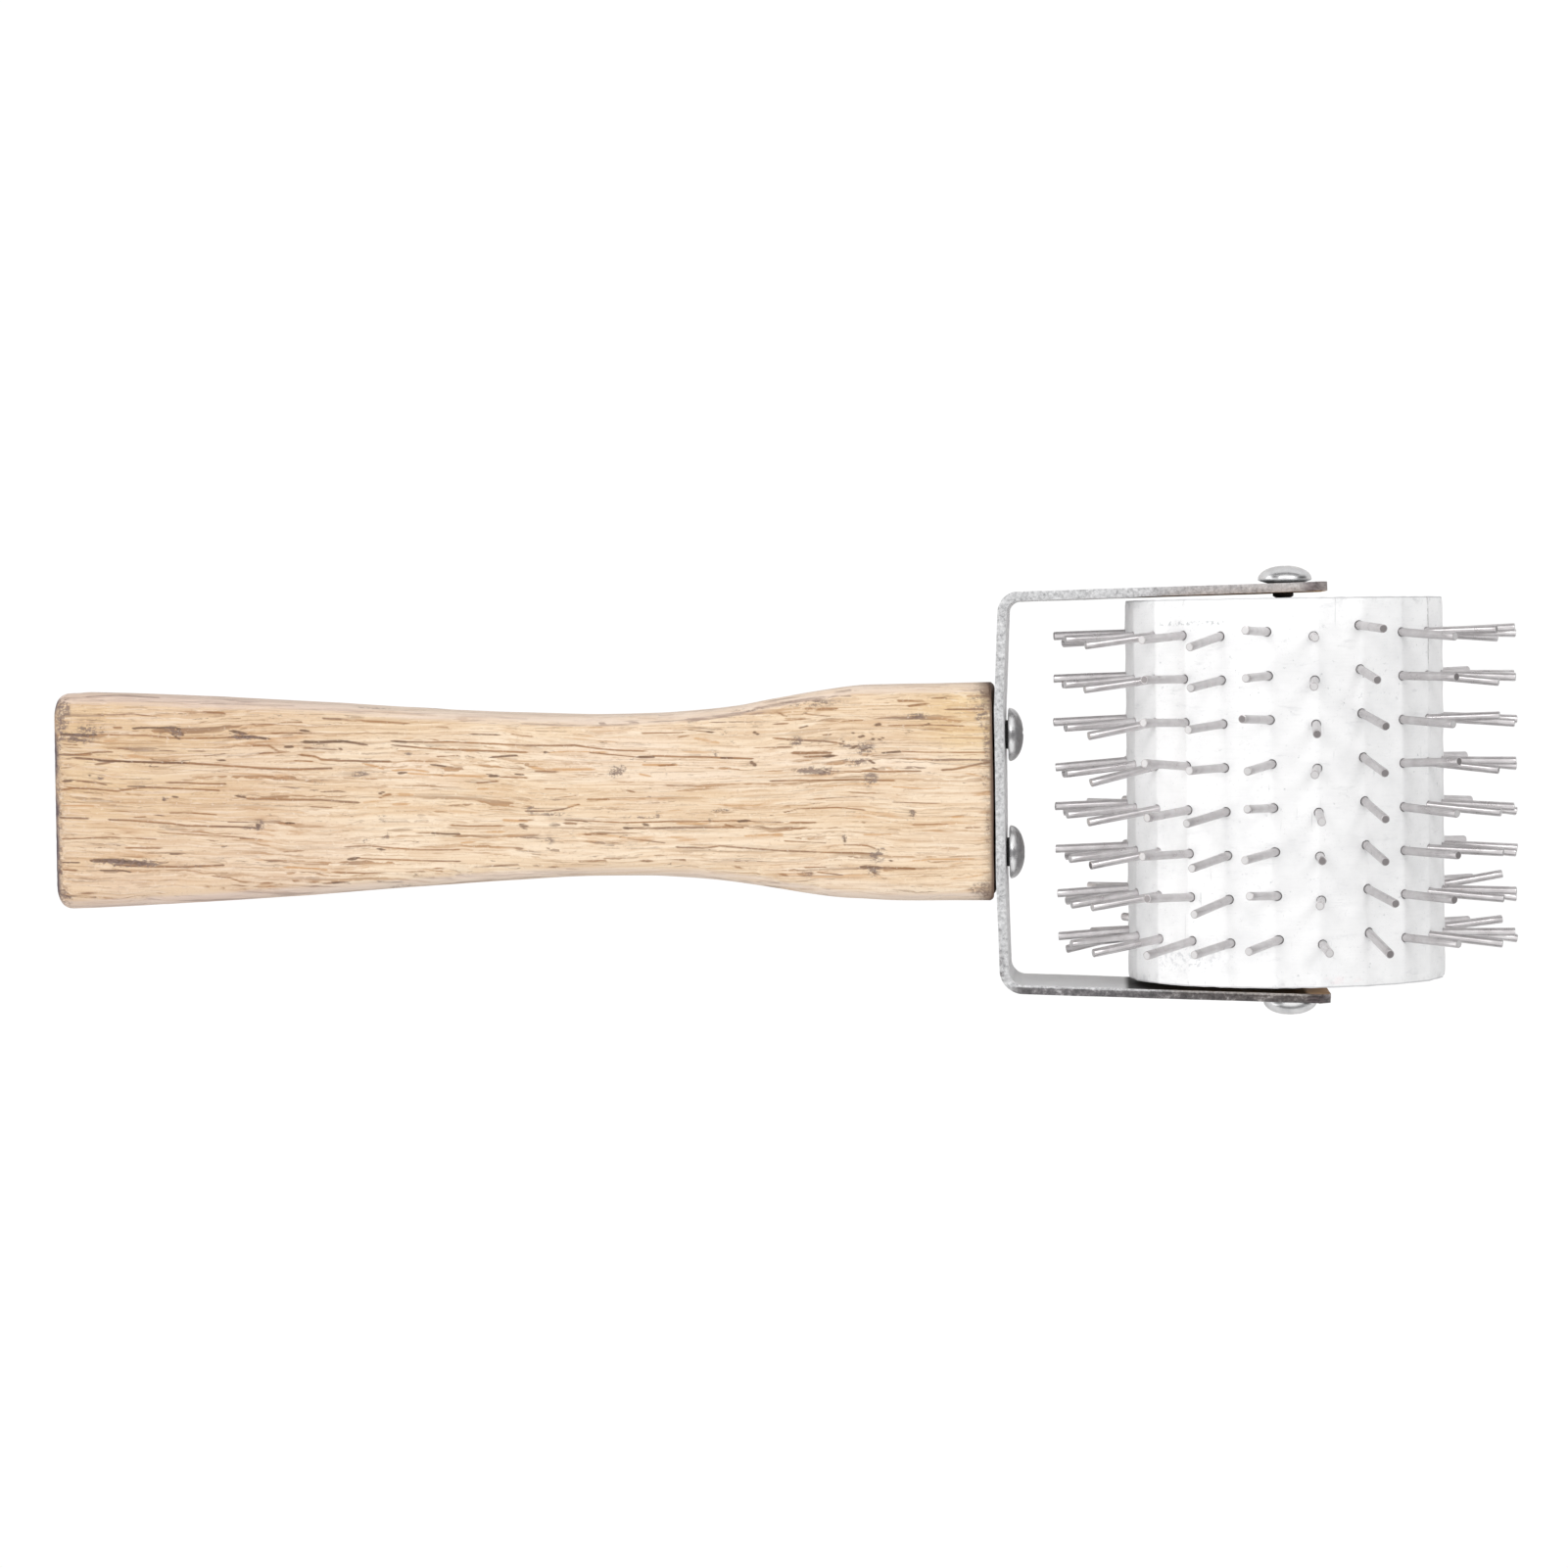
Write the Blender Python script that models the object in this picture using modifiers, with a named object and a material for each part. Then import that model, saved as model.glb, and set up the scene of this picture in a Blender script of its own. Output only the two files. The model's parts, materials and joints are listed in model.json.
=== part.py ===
"""Needle roller for uncapping honeycomb: a waisted wooden handle, a galvanised strip bent into
a yoke, and a drum of eight-needle rows that turns on two self-tapping screws.

Frame: origin at the centre of the handle's butt face, +X along the handle to the roller,
+Y along the roller's axis, +Z up. Metres.
"""

import math
import random
from collections import namedtuple

import bmesh
import bpy
from mathutils import Matrix, Vector

MM = 0.001

# Handle
# (distance from the butt face, half width), in millimetres:
# wide butt, waist at about 93, square front block.
HANDLE_STATIONS = (
    (0.0, 18.45), (13.7, 17.96), (29.7, 17.11), (45.7, 16.11), (61.7, 15.03),
    (77.7, 14.09), (92.7, 13.54), (101.7, 13.62), (108.7, 14.04), (115.7, 14.77),
    (122.7, 15.96), (129.7, 17.12), (136.7, 17.88), (144.7, 18.16), (159.4, 18.27),
)
HANDLE_LENGTH = HANDLE_STATIONS[-1][0] * MM
HANDLE_THICK = 24.0 * MM
HANDLE_STEP = 4.6 * MM  # target spacing of the outline's points
BUTT_CORNER = 2.4 * MM  # corner radius in plan
BUTT_CORNER_STEPS = 4
HANDLE_EDGE = 3.2 * MM
HANDLE_EDGE_STEPS = 4
FRONT_EDGE = 0.35 * MM

# Yoke: one strip, bent twice. Pairs are keyed by side: 1 for +Y, -1 for -Y.
STRIP_THICK = 1.5 * MM
STRIP_WIDTH = 25.0 * MM
STRIP_EDGE = 0.18 * MM
WEB_GAP = 0.3 * MM  # between the handle's front face and the middle of the web
WEB_BACK_X = HANDLE_LENGTH + WEB_GAP  # the web's face towards the handle
WEB_FRONT_X = WEB_BACK_X + STRIP_THICK
ARM_END_X = 215.0 * MM
ARM_CORNER = 2.0 * MM
ARM_CORNER_STEPS = 4
ARM_END_Y = {1: 33.72 * MM, -1: -34.77 * MM}  # mid thickness at the arm's end
ARM_SPLAY = {1: math.radians(1.10), -1: math.radians(2.2)}  # opening towards the ends
WEB_BENT_FROM = 14.0 * MM  # beyond this the web is sprung away from the handle
WEB_SPRUNG = {1: 0.85 * MM, -1: 0.45 * MM}  # how far, at the web's corners
# Bend radius at mid thickness, and steps round the bend
CORNER_BEND = (2.6 * MM, 7)
WEB_BEND = (40.0 * MM, 3)

# Screws
ROUND_STEPS = 24
SCREW_LENGTH = 19.0 * MM  # under the head
HEAD_R = 4.5 * MM
HEAD_HIGH = 2.6 * MM
HEAD_RIM = 0.35 * MM
HEAD_UNDERCUT = 0.15 * MM  # the rim draws in by this at its underside
DOME_STEPS = 6
DOME_POWER = 0.9  # below 1 fills out the dome's shoulder
SHANK_R = 1.75 * MM
THREAD_ROOT_R = 1.3 * MM
THREAD_R = 1.7 * MM
THREAD_PITCH = 2.0 * MM
THREAD_START = 0.25 * MM  # taper from the plain shank to the thread's root
THREAD_STOP = 3.2 * MM  # the thread keeps at least this far from the tip
POINT_LENGTH = 1.2 * MM
POINT_R = THREAD_ROOT_R * 0.55
RECESS_LONG = 4.4 * MM
RECESS_WIDE = 0.9 * MM
RECESS_DEEP = 1.95 * MM  # below the head's crown
RECESS_ABOVE = 0.65 * MM  # the cutter's reach above the crown
RECESS_NARROWING = 0.45  # floor size over mouth size
HANDLE_SCREW_Y = (9.5 * MM, -10.4 * MM)
HANDLE_SCREW_TURNS = (0.5, 1.1)  # radians
HANDLE_SCREW_PLAIN = 2.4 * MM  # unthreaded shank
HANDLE_SCREW_GAP = 0.3 * MM  # the heads stand a little off the web
AXLE_SCREW_PLAIN = 2.3 * MM
AXLE_HEAD_GAP = 0.25 * MM

# Screw holes. Cut ranges are (low, high) along the hole.
AXLE_HOLE_R = 1.83 * MM
AXLE_HOLE_CUT = (28 * MM, 40 * MM)  # from the handle's middle plane
WEB_HOLE_R = 2.4 * MM
WEB_HOLE_CUT = (-3 * MM, 5 * MM)  # from the web's back face
PILOT_R = 1.95 * MM
PILOT_ABOVE = 2 * MM  # the cutter's reach outside the mouth
PILOT_POINT = 1.2 * MM  # drill point beyond the straight bore
HANDLE_PILOT_DEPTH = SCREW_LENGTH - 1.0 * MM

# Drum
AXLE_X = 208.2 * MM
DRUM_HALF = 31.8 * MM
SKIN_CREASE_R = 26.6 * MM
SKIN_FACET_R = 26.38 * MM
SKIN_THICK = 0.5 * MM
CORE_R = 25.6 * MM
CORE_HALF = 31.4 * MM
GROOVE_WIDE = 4.9 * MM
GROOVE_FLOOR = 24.1 * MM
BACKING_TOP = 25.2 * MM  # from the roller's axis
BACKING_THICK = 0.9 * MM
BACKING_WIDE = 4.4 * MM
BACKING_HALF = 29.0 * MM

# Needles
ROWS = 22
ROW_NUMBERS = range(-(ROWS // 2), ROWS // 2)
ROW_ZERO_DEG = 9.3  # row 0's angle from +Z towards +X
PER_ROW = 8
MIDDLE_NEEDLE = (PER_ROW - 1) / 2
NEEDLE_PITCH = 7.16 * MM
NEEDLE_R = 0.7 * MM
NEEDLE_SIDES = 6
NEEDLE_TIP_R = 38.8 * MM  # an upright needle's tip, from the roller's axis
NEEDLE_OUTSIDE = NEEDLE_TIP_R - SKIN_FACET_R
NEEDLE_FOOT = 1.75 * MM  # buried length, below the skin's surface
NEEDLE_HOLE_R = 0.95 * MM
NEEDLE_HOLE_CUT = (-1.35 * MM, 1.5 * MM)  # from the skin's surface, along the needle

# Hand-set needles stand out of true. For each row: angle error of the row (degrees), slant
# along the drum (degrees per needle), shift along the axis (mm), then the lean round the drum
# and the lean along the axis of its eight needles (degrees), from the +Y end.
SET_ROWS = {
    -7: (0.7, 0.13, 0.35, (-2, -2, -5, -1, 0, -5, -7, 1),
         (-3, -2, -4, -7, -4, -6, -9, -14)),
    -6: (1.0, 0.1, 1.25, (3, -4, 4, 0, 7, 2, -4, 4),
         (-1, -1, -2, -4.5, -1, -2, -4, -4)),
    -5: (0.6, 0.2, 0.8, (5, 4, 5, 2, 4, 5, 5, 7),
         (-2, -3.5, -3.5, -5.5, -4, -5, -7.5, -4.5)),
    -4: (1.2, 0.3, 0.8, (-14, -15, -13, -10, -14, -16, -14, -11),
         (-6.5, -7, -9.5, -12, -8.5, -8.5, -7, -9)),
    -3: (0.7, 0.37, 0.8, (5, 6, 4, 4, 4, -2, 2, -1),
         (-3, 0, 1, 4, -4, 0, 2, -8)),
    -2: (-0.3, 0.39, 0.6, (-1, -2, -5, -6, -9, -7, -7, -8),
         (-8, -5, -3, 0, -7, -7, -8, -5)),
    -1: (0.4, 0.45, 1.2, (-10, -12, -16, -14, -16, -20, -18, -20),
         (1, -1, 2, -4, 1, -4, 3, -5)),
    0: (0.0, 0.32, 0.4, (-10, -12, -11, -14, -10, -11, -14, -8),
        (-1, -4, -6, -3, -5, 0, -1, -3)),
    1: (0.9, 0.42, 2.1, (-10, -16, -11, -13, -14, -16, -10, -15),
        (-3, -8, -9, -11, -12, -10, -8, -13)),
    2: (2.0, 0.08, 0.9, (-3, -2, -6, 0, -2, -2, -7, -2),
        (-4, -1, -3, 2, -4, -2, -2, -2)),
    3: (1.5, 0.2, 0.9, (10, 12, 12, 11, 11, 13, 14, 14),
        (1.5, -5.5, 2, -6.5, -5.5, -2.5, -5, -6)),
    4: (0.8, 0.1, 0.9, (5, 3, 4, 6, 2, 4, 4, 3),
        (2.5, -2.5, -4.5, -1, -2.5, -4.5, -1, 0)),
    5: (0.3, 0.2, 0.9, (1, 3, 0, 2, 0, 0, 0, 1),
        (-2, -1, -2.5, -6, -8, -3.5, -9, -8)),
    6: (-0.2, 0.25, 0.6, (3, 4, -2, -2, 3, -3, -9, -4),
        (-4, -3, -4, -4, -5, -5, 8.5, 5.5)),
}
# The other rows are drawn at random within these limits, in the same units.
ROW_SEED = 4100
ERROR_LIMITS = (-0.8, 0.8)
SLANT_LIMITS = (0.0, 0.35)
SHIFT_LIMITS = (0.3, 1.3)
AROUND_LIMITS = (-7, 7)
ALONG_LIMITS = (-7, 4)


# ---------------------------------------------------------------- scene and helpers


def clear_scene():
    for obj in list(bpy.data.objects):
        bpy.data.objects.remove(obj, do_unlink=True)


def collection(name, helper=False):
    made = bpy.data.collections.new(name)
    bpy.context.scene.collection.children.link(made)
    made.hide_render = helper
    return made


clear_scene()
PARTS = collection("needle_roller")
CUTTERS = collection("cutters", helper=True)


def material(name, color, metallic, roughness):
    made = bpy.data.materials.new(name)
    made.use_nodes = True
    shader = made.node_tree.nodes["Principled BSDF"]
    shader.inputs["Base Color"].default_value = (*color, 1.0)
    shader.inputs["Metallic"].default_value = metallic
    shader.inputs["Roughness"].default_value = roughness
    made.diffuse_color = (*color, 1.0)
    return made


def mesh_from(bm, name):
    bmesh.ops.recalc_face_normals(bm, faces=bm.faces)
    mesh = bpy.data.meshes.new(name)
    bm.to_mesh(mesh)
    bm.free()
    return mesh


def add_part(name, mesh, mat, matrix=None):
    obj = bpy.data.objects.new(name, mesh)
    PARTS.objects.link(obj)
    mesh.materials.clear()
    mesh.materials.append(mat)
    if matrix is not None:
        obj.matrix_world = matrix
    return obj


def add_cutter(name, bm, matrix=None):
    obj = bpy.data.objects.new(name, mesh_from(bm, name))
    CUTTERS.objects.link(obj)
    if matrix is not None:
        obj.matrix_world = matrix
    obj.hide_render = True
    obj.display_type = "WIRE"
    return obj


def add_boolean(obj, cutter, name, operation="DIFFERENCE"):
    mod = obj.modifiers.new(name, "BOOLEAN")
    mod.operation = operation
    mod.solver = "EXACT"
    mod.object = cutter
    return mod


def evaluated_mesh(obj):
    bpy.context.view_layer.update()
    graph = bpy.context.evaluated_depsgraph_get()
    return bpy.data.meshes.new_from_object(obj.evaluated_get(graph))


def finish(obj, sharp_deg):
    """Apply the modifiers, and shade smooth but for edges that turn by more than sharp_deg."""
    mesh = evaluated_mesh(obj)
    name = obj.name
    mat = obj.data.materials[0]
    matrix = obj.matrix_world.copy()
    bpy.data.objects.remove(obj, do_unlink=True)
    bm = bmesh.new()
    bm.from_mesh(mesh)
    bmesh.ops.remove_doubles(bm, verts=bm.verts, dist=1e-7)
    bm.normal_update()
    for face in bm.faces:
        face.smooth = True
    limit = math.radians(sharp_deg)
    for edge in bm.edges:
        edge.smooth = not (len(edge.link_faces) == 2 and edge.calc_face_angle(0.0) > limit)
    bm.to_mesh(mesh)
    bm.free()
    add_part(name, mesh, mat, matrix)


def pointing(direction, at):
    """A frame at `at` whose +Z is `direction`."""
    z = Vector(direction).normalized()
    return Matrix.Translation(at) @ z.to_track_quat("Z", "Y").to_matrix().to_4x4()


def rod(bm, radius, low, high, sides, matrix):
    """A closed prism along the matrix's Z, from low to high."""
    bmesh.ops.create_cone(
        bm, cap_ends=True, cap_tris=False, segments=sides, radius1=radius, radius2=radius,
        depth=high - low, matrix=matrix @ Matrix.Translation((0, 0, (low + high) / 2)),
    )


def box(bm, centre, size, turn=0.0):
    """A box, turned about Z after it is placed. Returns its vertices."""
    return bmesh.ops.create_cube(
        bm, size=1.0,
        matrix=Matrix.Rotation(turn, 4, "Z")
        @ Matrix.Translation(centre)
        @ Matrix.Diagonal((*size, 1)),
    )["verts"]


def raise_extruded(bm, grown, height):
    """Lift the vertices of an extrusion's new geometry."""
    verts = [item for item in grown if isinstance(item, bmesh.types.BMVert)]
    bmesh.ops.translate(bm, vec=(0, 0, height), verts=verts)


def bevel(bm, geom, offset, segments, affect="EDGES"):
    bmesh.ops.bevel(
        bm, geom=geom, offset=offset, offset_type="OFFSET", segments=segments, profile=0.5,
        affect=affect, clamp_overlap=False,
    )


def pilot_cutter(name, mouth, direction, depth):
    """A drilled hole with a drill-point bottom, from outside the mouth inwards."""
    bm = bmesh.new()
    frame = pointing(direction, mouth)
    rod(bm, PILOT_R, -PILOT_ABOVE, depth, ROUND_STEPS, frame)
    to_frame = frame.inverted()
    bottom = next(f for f in bm.faces if all((to_frame @ v.co).z > 0 for v in f.verts))
    point = bmesh.ops.poke(bm, faces=[bottom])["verts"][0]
    point.co += Vector(direction) * PILOT_POINT
    return add_cutter(name, bm)


# ---------------------------------------------------------------- handle


def half_width(x):
    """The handle's half width at x, by a smooth curve through the stations, no overshoot."""
    xs = [station[0] * MM for station in HANDLE_STATIONS]
    widths = [station[1] * MM for station in HANDLE_STATIONS]
    x = min(max(x, xs[0]), xs[-1])
    slopes = [(widths[i + 1] - widths[i]) / (xs[i + 1] - xs[i]) for i in range(len(xs) - 1)]
    tangents = [slopes[0]]
    for before, after in zip(slopes, slopes[1:]):
        turns_back = before * after <= 0
        tangents.append(0.0 if turns_back else 2 * before * after / (before + after))
    tangents.append(slopes[-1])
    i = max(k for k in range(len(xs) - 1) if xs[k] <= x)
    span = xs[i + 1] - xs[i]
    t = (x - xs[i]) / span
    return (
        (2 * t**3 - 3 * t**2 + 1) * widths[i]
        + (t**3 - 2 * t**2 + t) * span * tangents[i]
        + (-2 * t**3 + 3 * t**2) * widths[i + 1]
        + (t**3 - t**2) * span * tangents[i + 1]
    )


def handle_outline():
    """The plan outline, anticlockwise from the -Y end of the butt."""
    straight = HANDLE_LENGTH - BUTT_CORNER
    count = round(straight / HANDLE_STEP)
    upper = []
    for i in range(BUTT_CORNER_STEPS):
        angle = math.radians(90 - 90 / BUTT_CORNER_STEPS * i)
        drop = BUTT_CORNER * (1 - math.cos(angle))
        upper.append((BUTT_CORNER * (1 - math.sin(angle)), half_width(BUTT_CORNER) - drop))
    for i in range(count + 1):
        x = BUTT_CORNER + straight * i / count
        upper.append((x, half_width(x)))
    lower = [(x, -y) for x, y in upper]
    return lower + upper[::-1]


def build_handle(mat):
    bm = bmesh.new()
    face = bm.faces.new([bm.verts.new((x, y, -HANDLE_THICK / 2)) for x, y in handle_outline()])
    raise_extruded(bm, bmesh.ops.extrude_face_region(bm, geom=[face])["geom"], HANDLE_THICK)

    def at_front(edge):
        return all(abs(v.co.x - HANDLE_LENGTH) < 1e-6 for v in edge.verts)

    def is_level(edge):
        return abs(edge.verts[0].co.z - edge.verts[1].co.z) < 1e-7

    rims = [e for e in bm.edges if is_level(e) and not at_front(e)]
    bevel(bm, rims, HANDLE_EDGE, HANDLE_EDGE_STEPS)
    bevel(bm, [e for e in bm.edges if at_front(e)], FRONT_EDGE, 1)
    bmesh.ops.remove_doubles(bm, verts=bm.verts, dist=1e-7)
    obj = add_part("handle", mesh_from(bm, "handle"), mat)
    for i, y in enumerate(HANDLE_SCREW_Y, start=1):
        mouth = (HANDLE_LENGTH, y, 0)
        cutter = pilot_cutter(f"cut_handle_pilot_{i}", mouth, (-1, 0, 0), HANDLE_PILOT_DEPTH)
        add_boolean(obj, cutter, f"pilot_{i}")
    finish(obj, sharp_deg=30)


# ---------------------------------------------------------------- yoke


def arm_y(x, side):
    """Mid thickness of an arm at x."""
    return ARM_END_Y[side] - side * math.tan(ARM_SPLAY[side]) * (ARM_END_X - x)


def arm_outer(side):
    """Y of the arm's outer face on the roller's axis."""
    return arm_y(AXLE_X, side) + side * STRIP_THICK / 2 / math.cos(ARM_SPLAY[side])


def yoke_path():
    """The strip's middle line, from the +Y arm's end round to the -Y arm's end."""
    web = WEB_BACK_X + STRIP_THICK / 2

    def web_corner(side):
        x = web + WEB_SPRUNG[side]
        return Vector((x, arm_y(x, side)))

    corners = [
        Vector((ARM_END_X, ARM_END_Y[1])),
        web_corner(1),
        Vector((web, WEB_BENT_FROM)),
        Vector((web, -WEB_BENT_FROM)),
        web_corner(-1),
        Vector((ARM_END_X, ARM_END_Y[-1])),
    ]
    path = [corners[0]]
    for before, corner, after in zip(corners, corners[1:], corners[2:]):
        back, ahead = (before - corner).normalized(), (after - corner).normalized()
        half = back.angle(ahead) / 2
        radius, steps = CORNER_BEND if half < math.radians(60) else WEB_BEND
        middle = corner + (back + ahead).normalized() * (radius / math.sin(half))
        tangent_length = radius / math.tan(half)
        start = corner + back * tangent_length - middle
        end = corner + ahead * tangent_length - middle
        turn = math.atan2(start.x * end.y - start.y * end.x, start.dot(end))
        for i in range(steps + 1):
            path.append(middle + Matrix.Rotation(turn * i / steps, 2) @ start)
    path.append(corners[-1])
    return path


def build_yoke(mat):
    bm = bmesh.new()
    line = [bm.verts.new((p.x, p.y, -STRIP_WIDTH / 2)) for p in yoke_path()]
    edges = [bm.edges.new(pair) for pair in zip(line, line[1:])]
    raise_extruded(bm, bmesh.ops.extrude_edge_only(bm, edges=edges)["geom"], STRIP_WIDTH)
    corners = [v for v in bm.verts if len(v.link_edges) == 2]
    bevel(bm, corners, ARM_CORNER, ARM_CORNER_STEPS, affect="VERTICES")
    obj = add_part("yoke", mesh_from(bm, "yoke"), mat)

    solid = obj.modifiers.new("thickness", "SOLIDIFY")
    solid.thickness = STRIP_THICK
    solid.offset = 0.0
    solid.use_even_offset = True
    solid.use_quality_normals = True
    soft = obj.modifiers.new("sheared_edge", "BEVEL")
    soft.width = STRIP_EDGE
    soft.segments = 1
    soft.limit_method = "ANGLE"
    soft.angle_limit = math.radians(50)
    soft.use_clamp_overlap = False

    bm = bmesh.new()
    for y in HANDLE_SCREW_Y:
        frame = pointing((1, 0, 0), (WEB_BACK_X, y, 0))
        rod(bm, WEB_HOLE_R, *WEB_HOLE_CUT, ROUND_STEPS, frame)
    add_boolean(obj, add_cutter("cut_web_holes", bm), "web_holes")
    bm = bmesh.new()
    for side in (1, -1):
        frame = pointing((0, side, 0), (AXLE_X, 0, 0))
        rod(bm, AXLE_HOLE_R, *AXLE_HOLE_CUT, ROUND_STEPS, frame)
    add_boolean(obj, add_cutter("cut_axle_holes", bm), "axle_holes")
    finish(obj, sharp_deg=35)


# ---------------------------------------------------------------- screws


def screw_profile(plain):
    """(radius, height) from the head's crown down the outside to the point.
    Height 0 is under the head."""
    points = [(0.0, HEAD_HIGH)]
    for i in range(1, DOME_STEPS):
        angle = math.radians(90 * i / DOME_STEPS)
        rise = (HEAD_HIGH - HEAD_RIM) * math.cos(angle) ** DOME_POWER
        points.append((HEAD_R * math.sin(angle), HEAD_RIM + rise))
    points += [(HEAD_R, HEAD_RIM), (HEAD_R - HEAD_UNDERCUT, 0.0)]
    points += [(SHANK_R, 0.0), (SHANK_R, -plain)]
    z = -plain - THREAD_START
    points.append((THREAD_ROOT_R, z))
    while z - THREAD_PITCH > -(SCREW_LENGTH - THREAD_STOP):
        points.append((THREAD_R, z - THREAD_PITCH * 0.5))
        points.append((THREAD_ROOT_R, z - THREAD_PITCH))
        z -= THREAD_PITCH
    points += [(POINT_R, -(SCREW_LENGTH - POINT_LENGTH)), (0.0, -SCREW_LENGTH)]
    return points


def recess_cutter(name, frame):
    """Two crossed boxes that narrow to the recess's floor."""
    bm = bmesh.new()
    centre = (0, 0, HEAD_HIGH + (RECESS_ABOVE - RECESS_DEEP) / 2)
    size = (RECESS_LONG, RECESS_WIDE, RECESS_ABOVE + RECESS_DEEP)
    for turn in (0, math.pi / 2):
        for v in box(bm, centre, size, turn):
            if v.co.z < HEAD_HIGH:
                v.co.x *= RECESS_NARROWING
                v.co.y *= RECESS_NARROWING
    return add_cutter(name, bm, frame)


def build_screw(name, mat, at, direction, plain, turn=0.0):
    """A self-tapping screw whose head points along `direction` with its underside at `at`."""
    points = screw_profile(plain)
    mesh = bpy.data.meshes.new(name)
    edges = [(i, i + 1) for i in range(len(points) - 1)]
    mesh.from_pydata([(radius, 0, z) for radius, z in points], edges, [])
    frame = pointing(direction, at) @ Matrix.Rotation(turn, 4, "Z")
    obj = add_part(name, mesh, mat, frame)
    lathe = obj.modifiers.new("turned", "SCREW")
    lathe.axis = "Z"
    lathe.steps = lathe.render_steps = ROUND_STEPS
    lathe.use_merge_vertices = True
    lathe.merge_threshold = 0.00001
    lathe.use_smooth_shade = True
    lathe.use_normal_calculate = True
    recess = add_boolean(obj, recess_cutter(f"cut_{name}", frame), "cross_recess")
    recess.use_self = True  # the cutter's two boxes overlap
    finish(obj, sharp_deg=40)


def build_handle_screws(mat):
    for i, (y, turn) in enumerate(zip(HANDLE_SCREW_Y, HANDLE_SCREW_TURNS), start=1):
        at = (WEB_FRONT_X + HANDLE_SCREW_GAP, y, 0)
        build_screw(f"handle_screw_{i}", mat, at, (1, 0, 0), HANDLE_SCREW_PLAIN, turn)


def build_axle_screws(mat):
    for i, side in enumerate((1, -1), start=1):
        at = (AXLE_X, arm_outer(side) + side * AXLE_HEAD_GAP, 0)
        build_screw(f"axle_screw_{i}", mat, at, (0, side, 0), AXLE_SCREW_PLAIN)


# ---------------------------------------------------------------- needles

# Radians and metres; slant is per needle, around and along hold one lean for each needle.
RowSetting = namedtuple("RowSetting", "angle slant shift around along")


def row_setting(row):
    if row in SET_ROWS:
        error, slant, shift, around, along = SET_ROWS[row]
    else:
        rng = random.Random(ROW_SEED + row)
        error = rng.uniform(*ERROR_LIMITS)
        slant = rng.uniform(*SLANT_LIMITS)
        shift = rng.uniform(*SHIFT_LIMITS)
        around = [rng.uniform(*AROUND_LIMITS) for _ in range(PER_ROW)]
        along = [rng.uniform(*ALONG_LIMITS) for _ in range(PER_ROW)]
    return RowSetting(
        angle=math.radians(ROW_ZERO_DEG + row * (360.0 / ROWS) + error),
        slant=math.radians(slant),
        shift=shift * MM,
        around=[math.radians(lean) for lean in around],
        along=[math.radians(lean) for lean in along],
    )


def row_matrix(row):
    """The row's own frame on the roller's axis, whose +Z points out through the row."""
    return Matrix.Translation((AXLE_X, 0, 0)) @ Matrix.Rotation(row_setting(row).angle, 4, "Y")


def needle_frames(row):
    """For each needle, a frame at its place on the skin with +Z along the needle, in the
    row's own frame."""
    setting = row_setting(row)
    axis = Vector((0, 1, 0))
    frames = []
    for i, (around, along) in enumerate(zip(setting.around, setting.along)):
        y = setting.shift + (MIDDLE_NEEDLE - i) * NEEDLE_PITCH
        out = Matrix.Rotation(setting.slant * (i - MIDDLE_NEEDLE), 3, "Y") @ Vector((0, 0, 1))
        side = axis.cross(out)
        leaning = out * math.cos(around) + side * math.sin(around)
        direction = leaning * math.cos(along) + axis * math.sin(along)
        frames.append(pointing(direction, out * SKIN_FACET_R + Vector((0, y, 0))))
    return frames


def build_needle_row(row, mat):
    """A backing bar with its needles joined on."""
    name = f"needle_row_{row - ROW_NUMBERS[0] + 1:02d}"
    matrix = row_matrix(row)
    bm = bmesh.new()
    centre = (0, 0, BACKING_TOP - BACKING_THICK / 2)
    box(bm, centre, (BACKING_WIDE, 2 * BACKING_HALF, BACKING_THICK))
    obj = add_part(name, mesh_from(bm, name), mat, matrix)
    bm = bmesh.new()
    for frame in needle_frames(row):
        rod(bm, NEEDLE_R, -NEEDLE_FOOT, NEEDLE_OUTSIDE, NEEDLE_SIDES, frame)
    add_boolean(obj, add_cutter(f"cut_{name}", bm, matrix), "needles", operation="UNION")
    finish(obj, sharp_deg=62)


# ---------------------------------------------------------------- drum


def polar(radius, angle):
    """(x, z) at an angle from +Z towards +X, as needle rows are counted."""
    return radius * math.sin(angle), radius * math.cos(angle)


def facet_angle(row):
    """Halfway from a row to the next."""
    if row + 1 in ROW_NUMBERS:
        following = row_setting(row + 1).angle
    else:
        following = row_setting(ROW_NUMBERS[0]).angle + 2 * math.pi
    return (row_setting(row).angle + following) / 2


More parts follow.
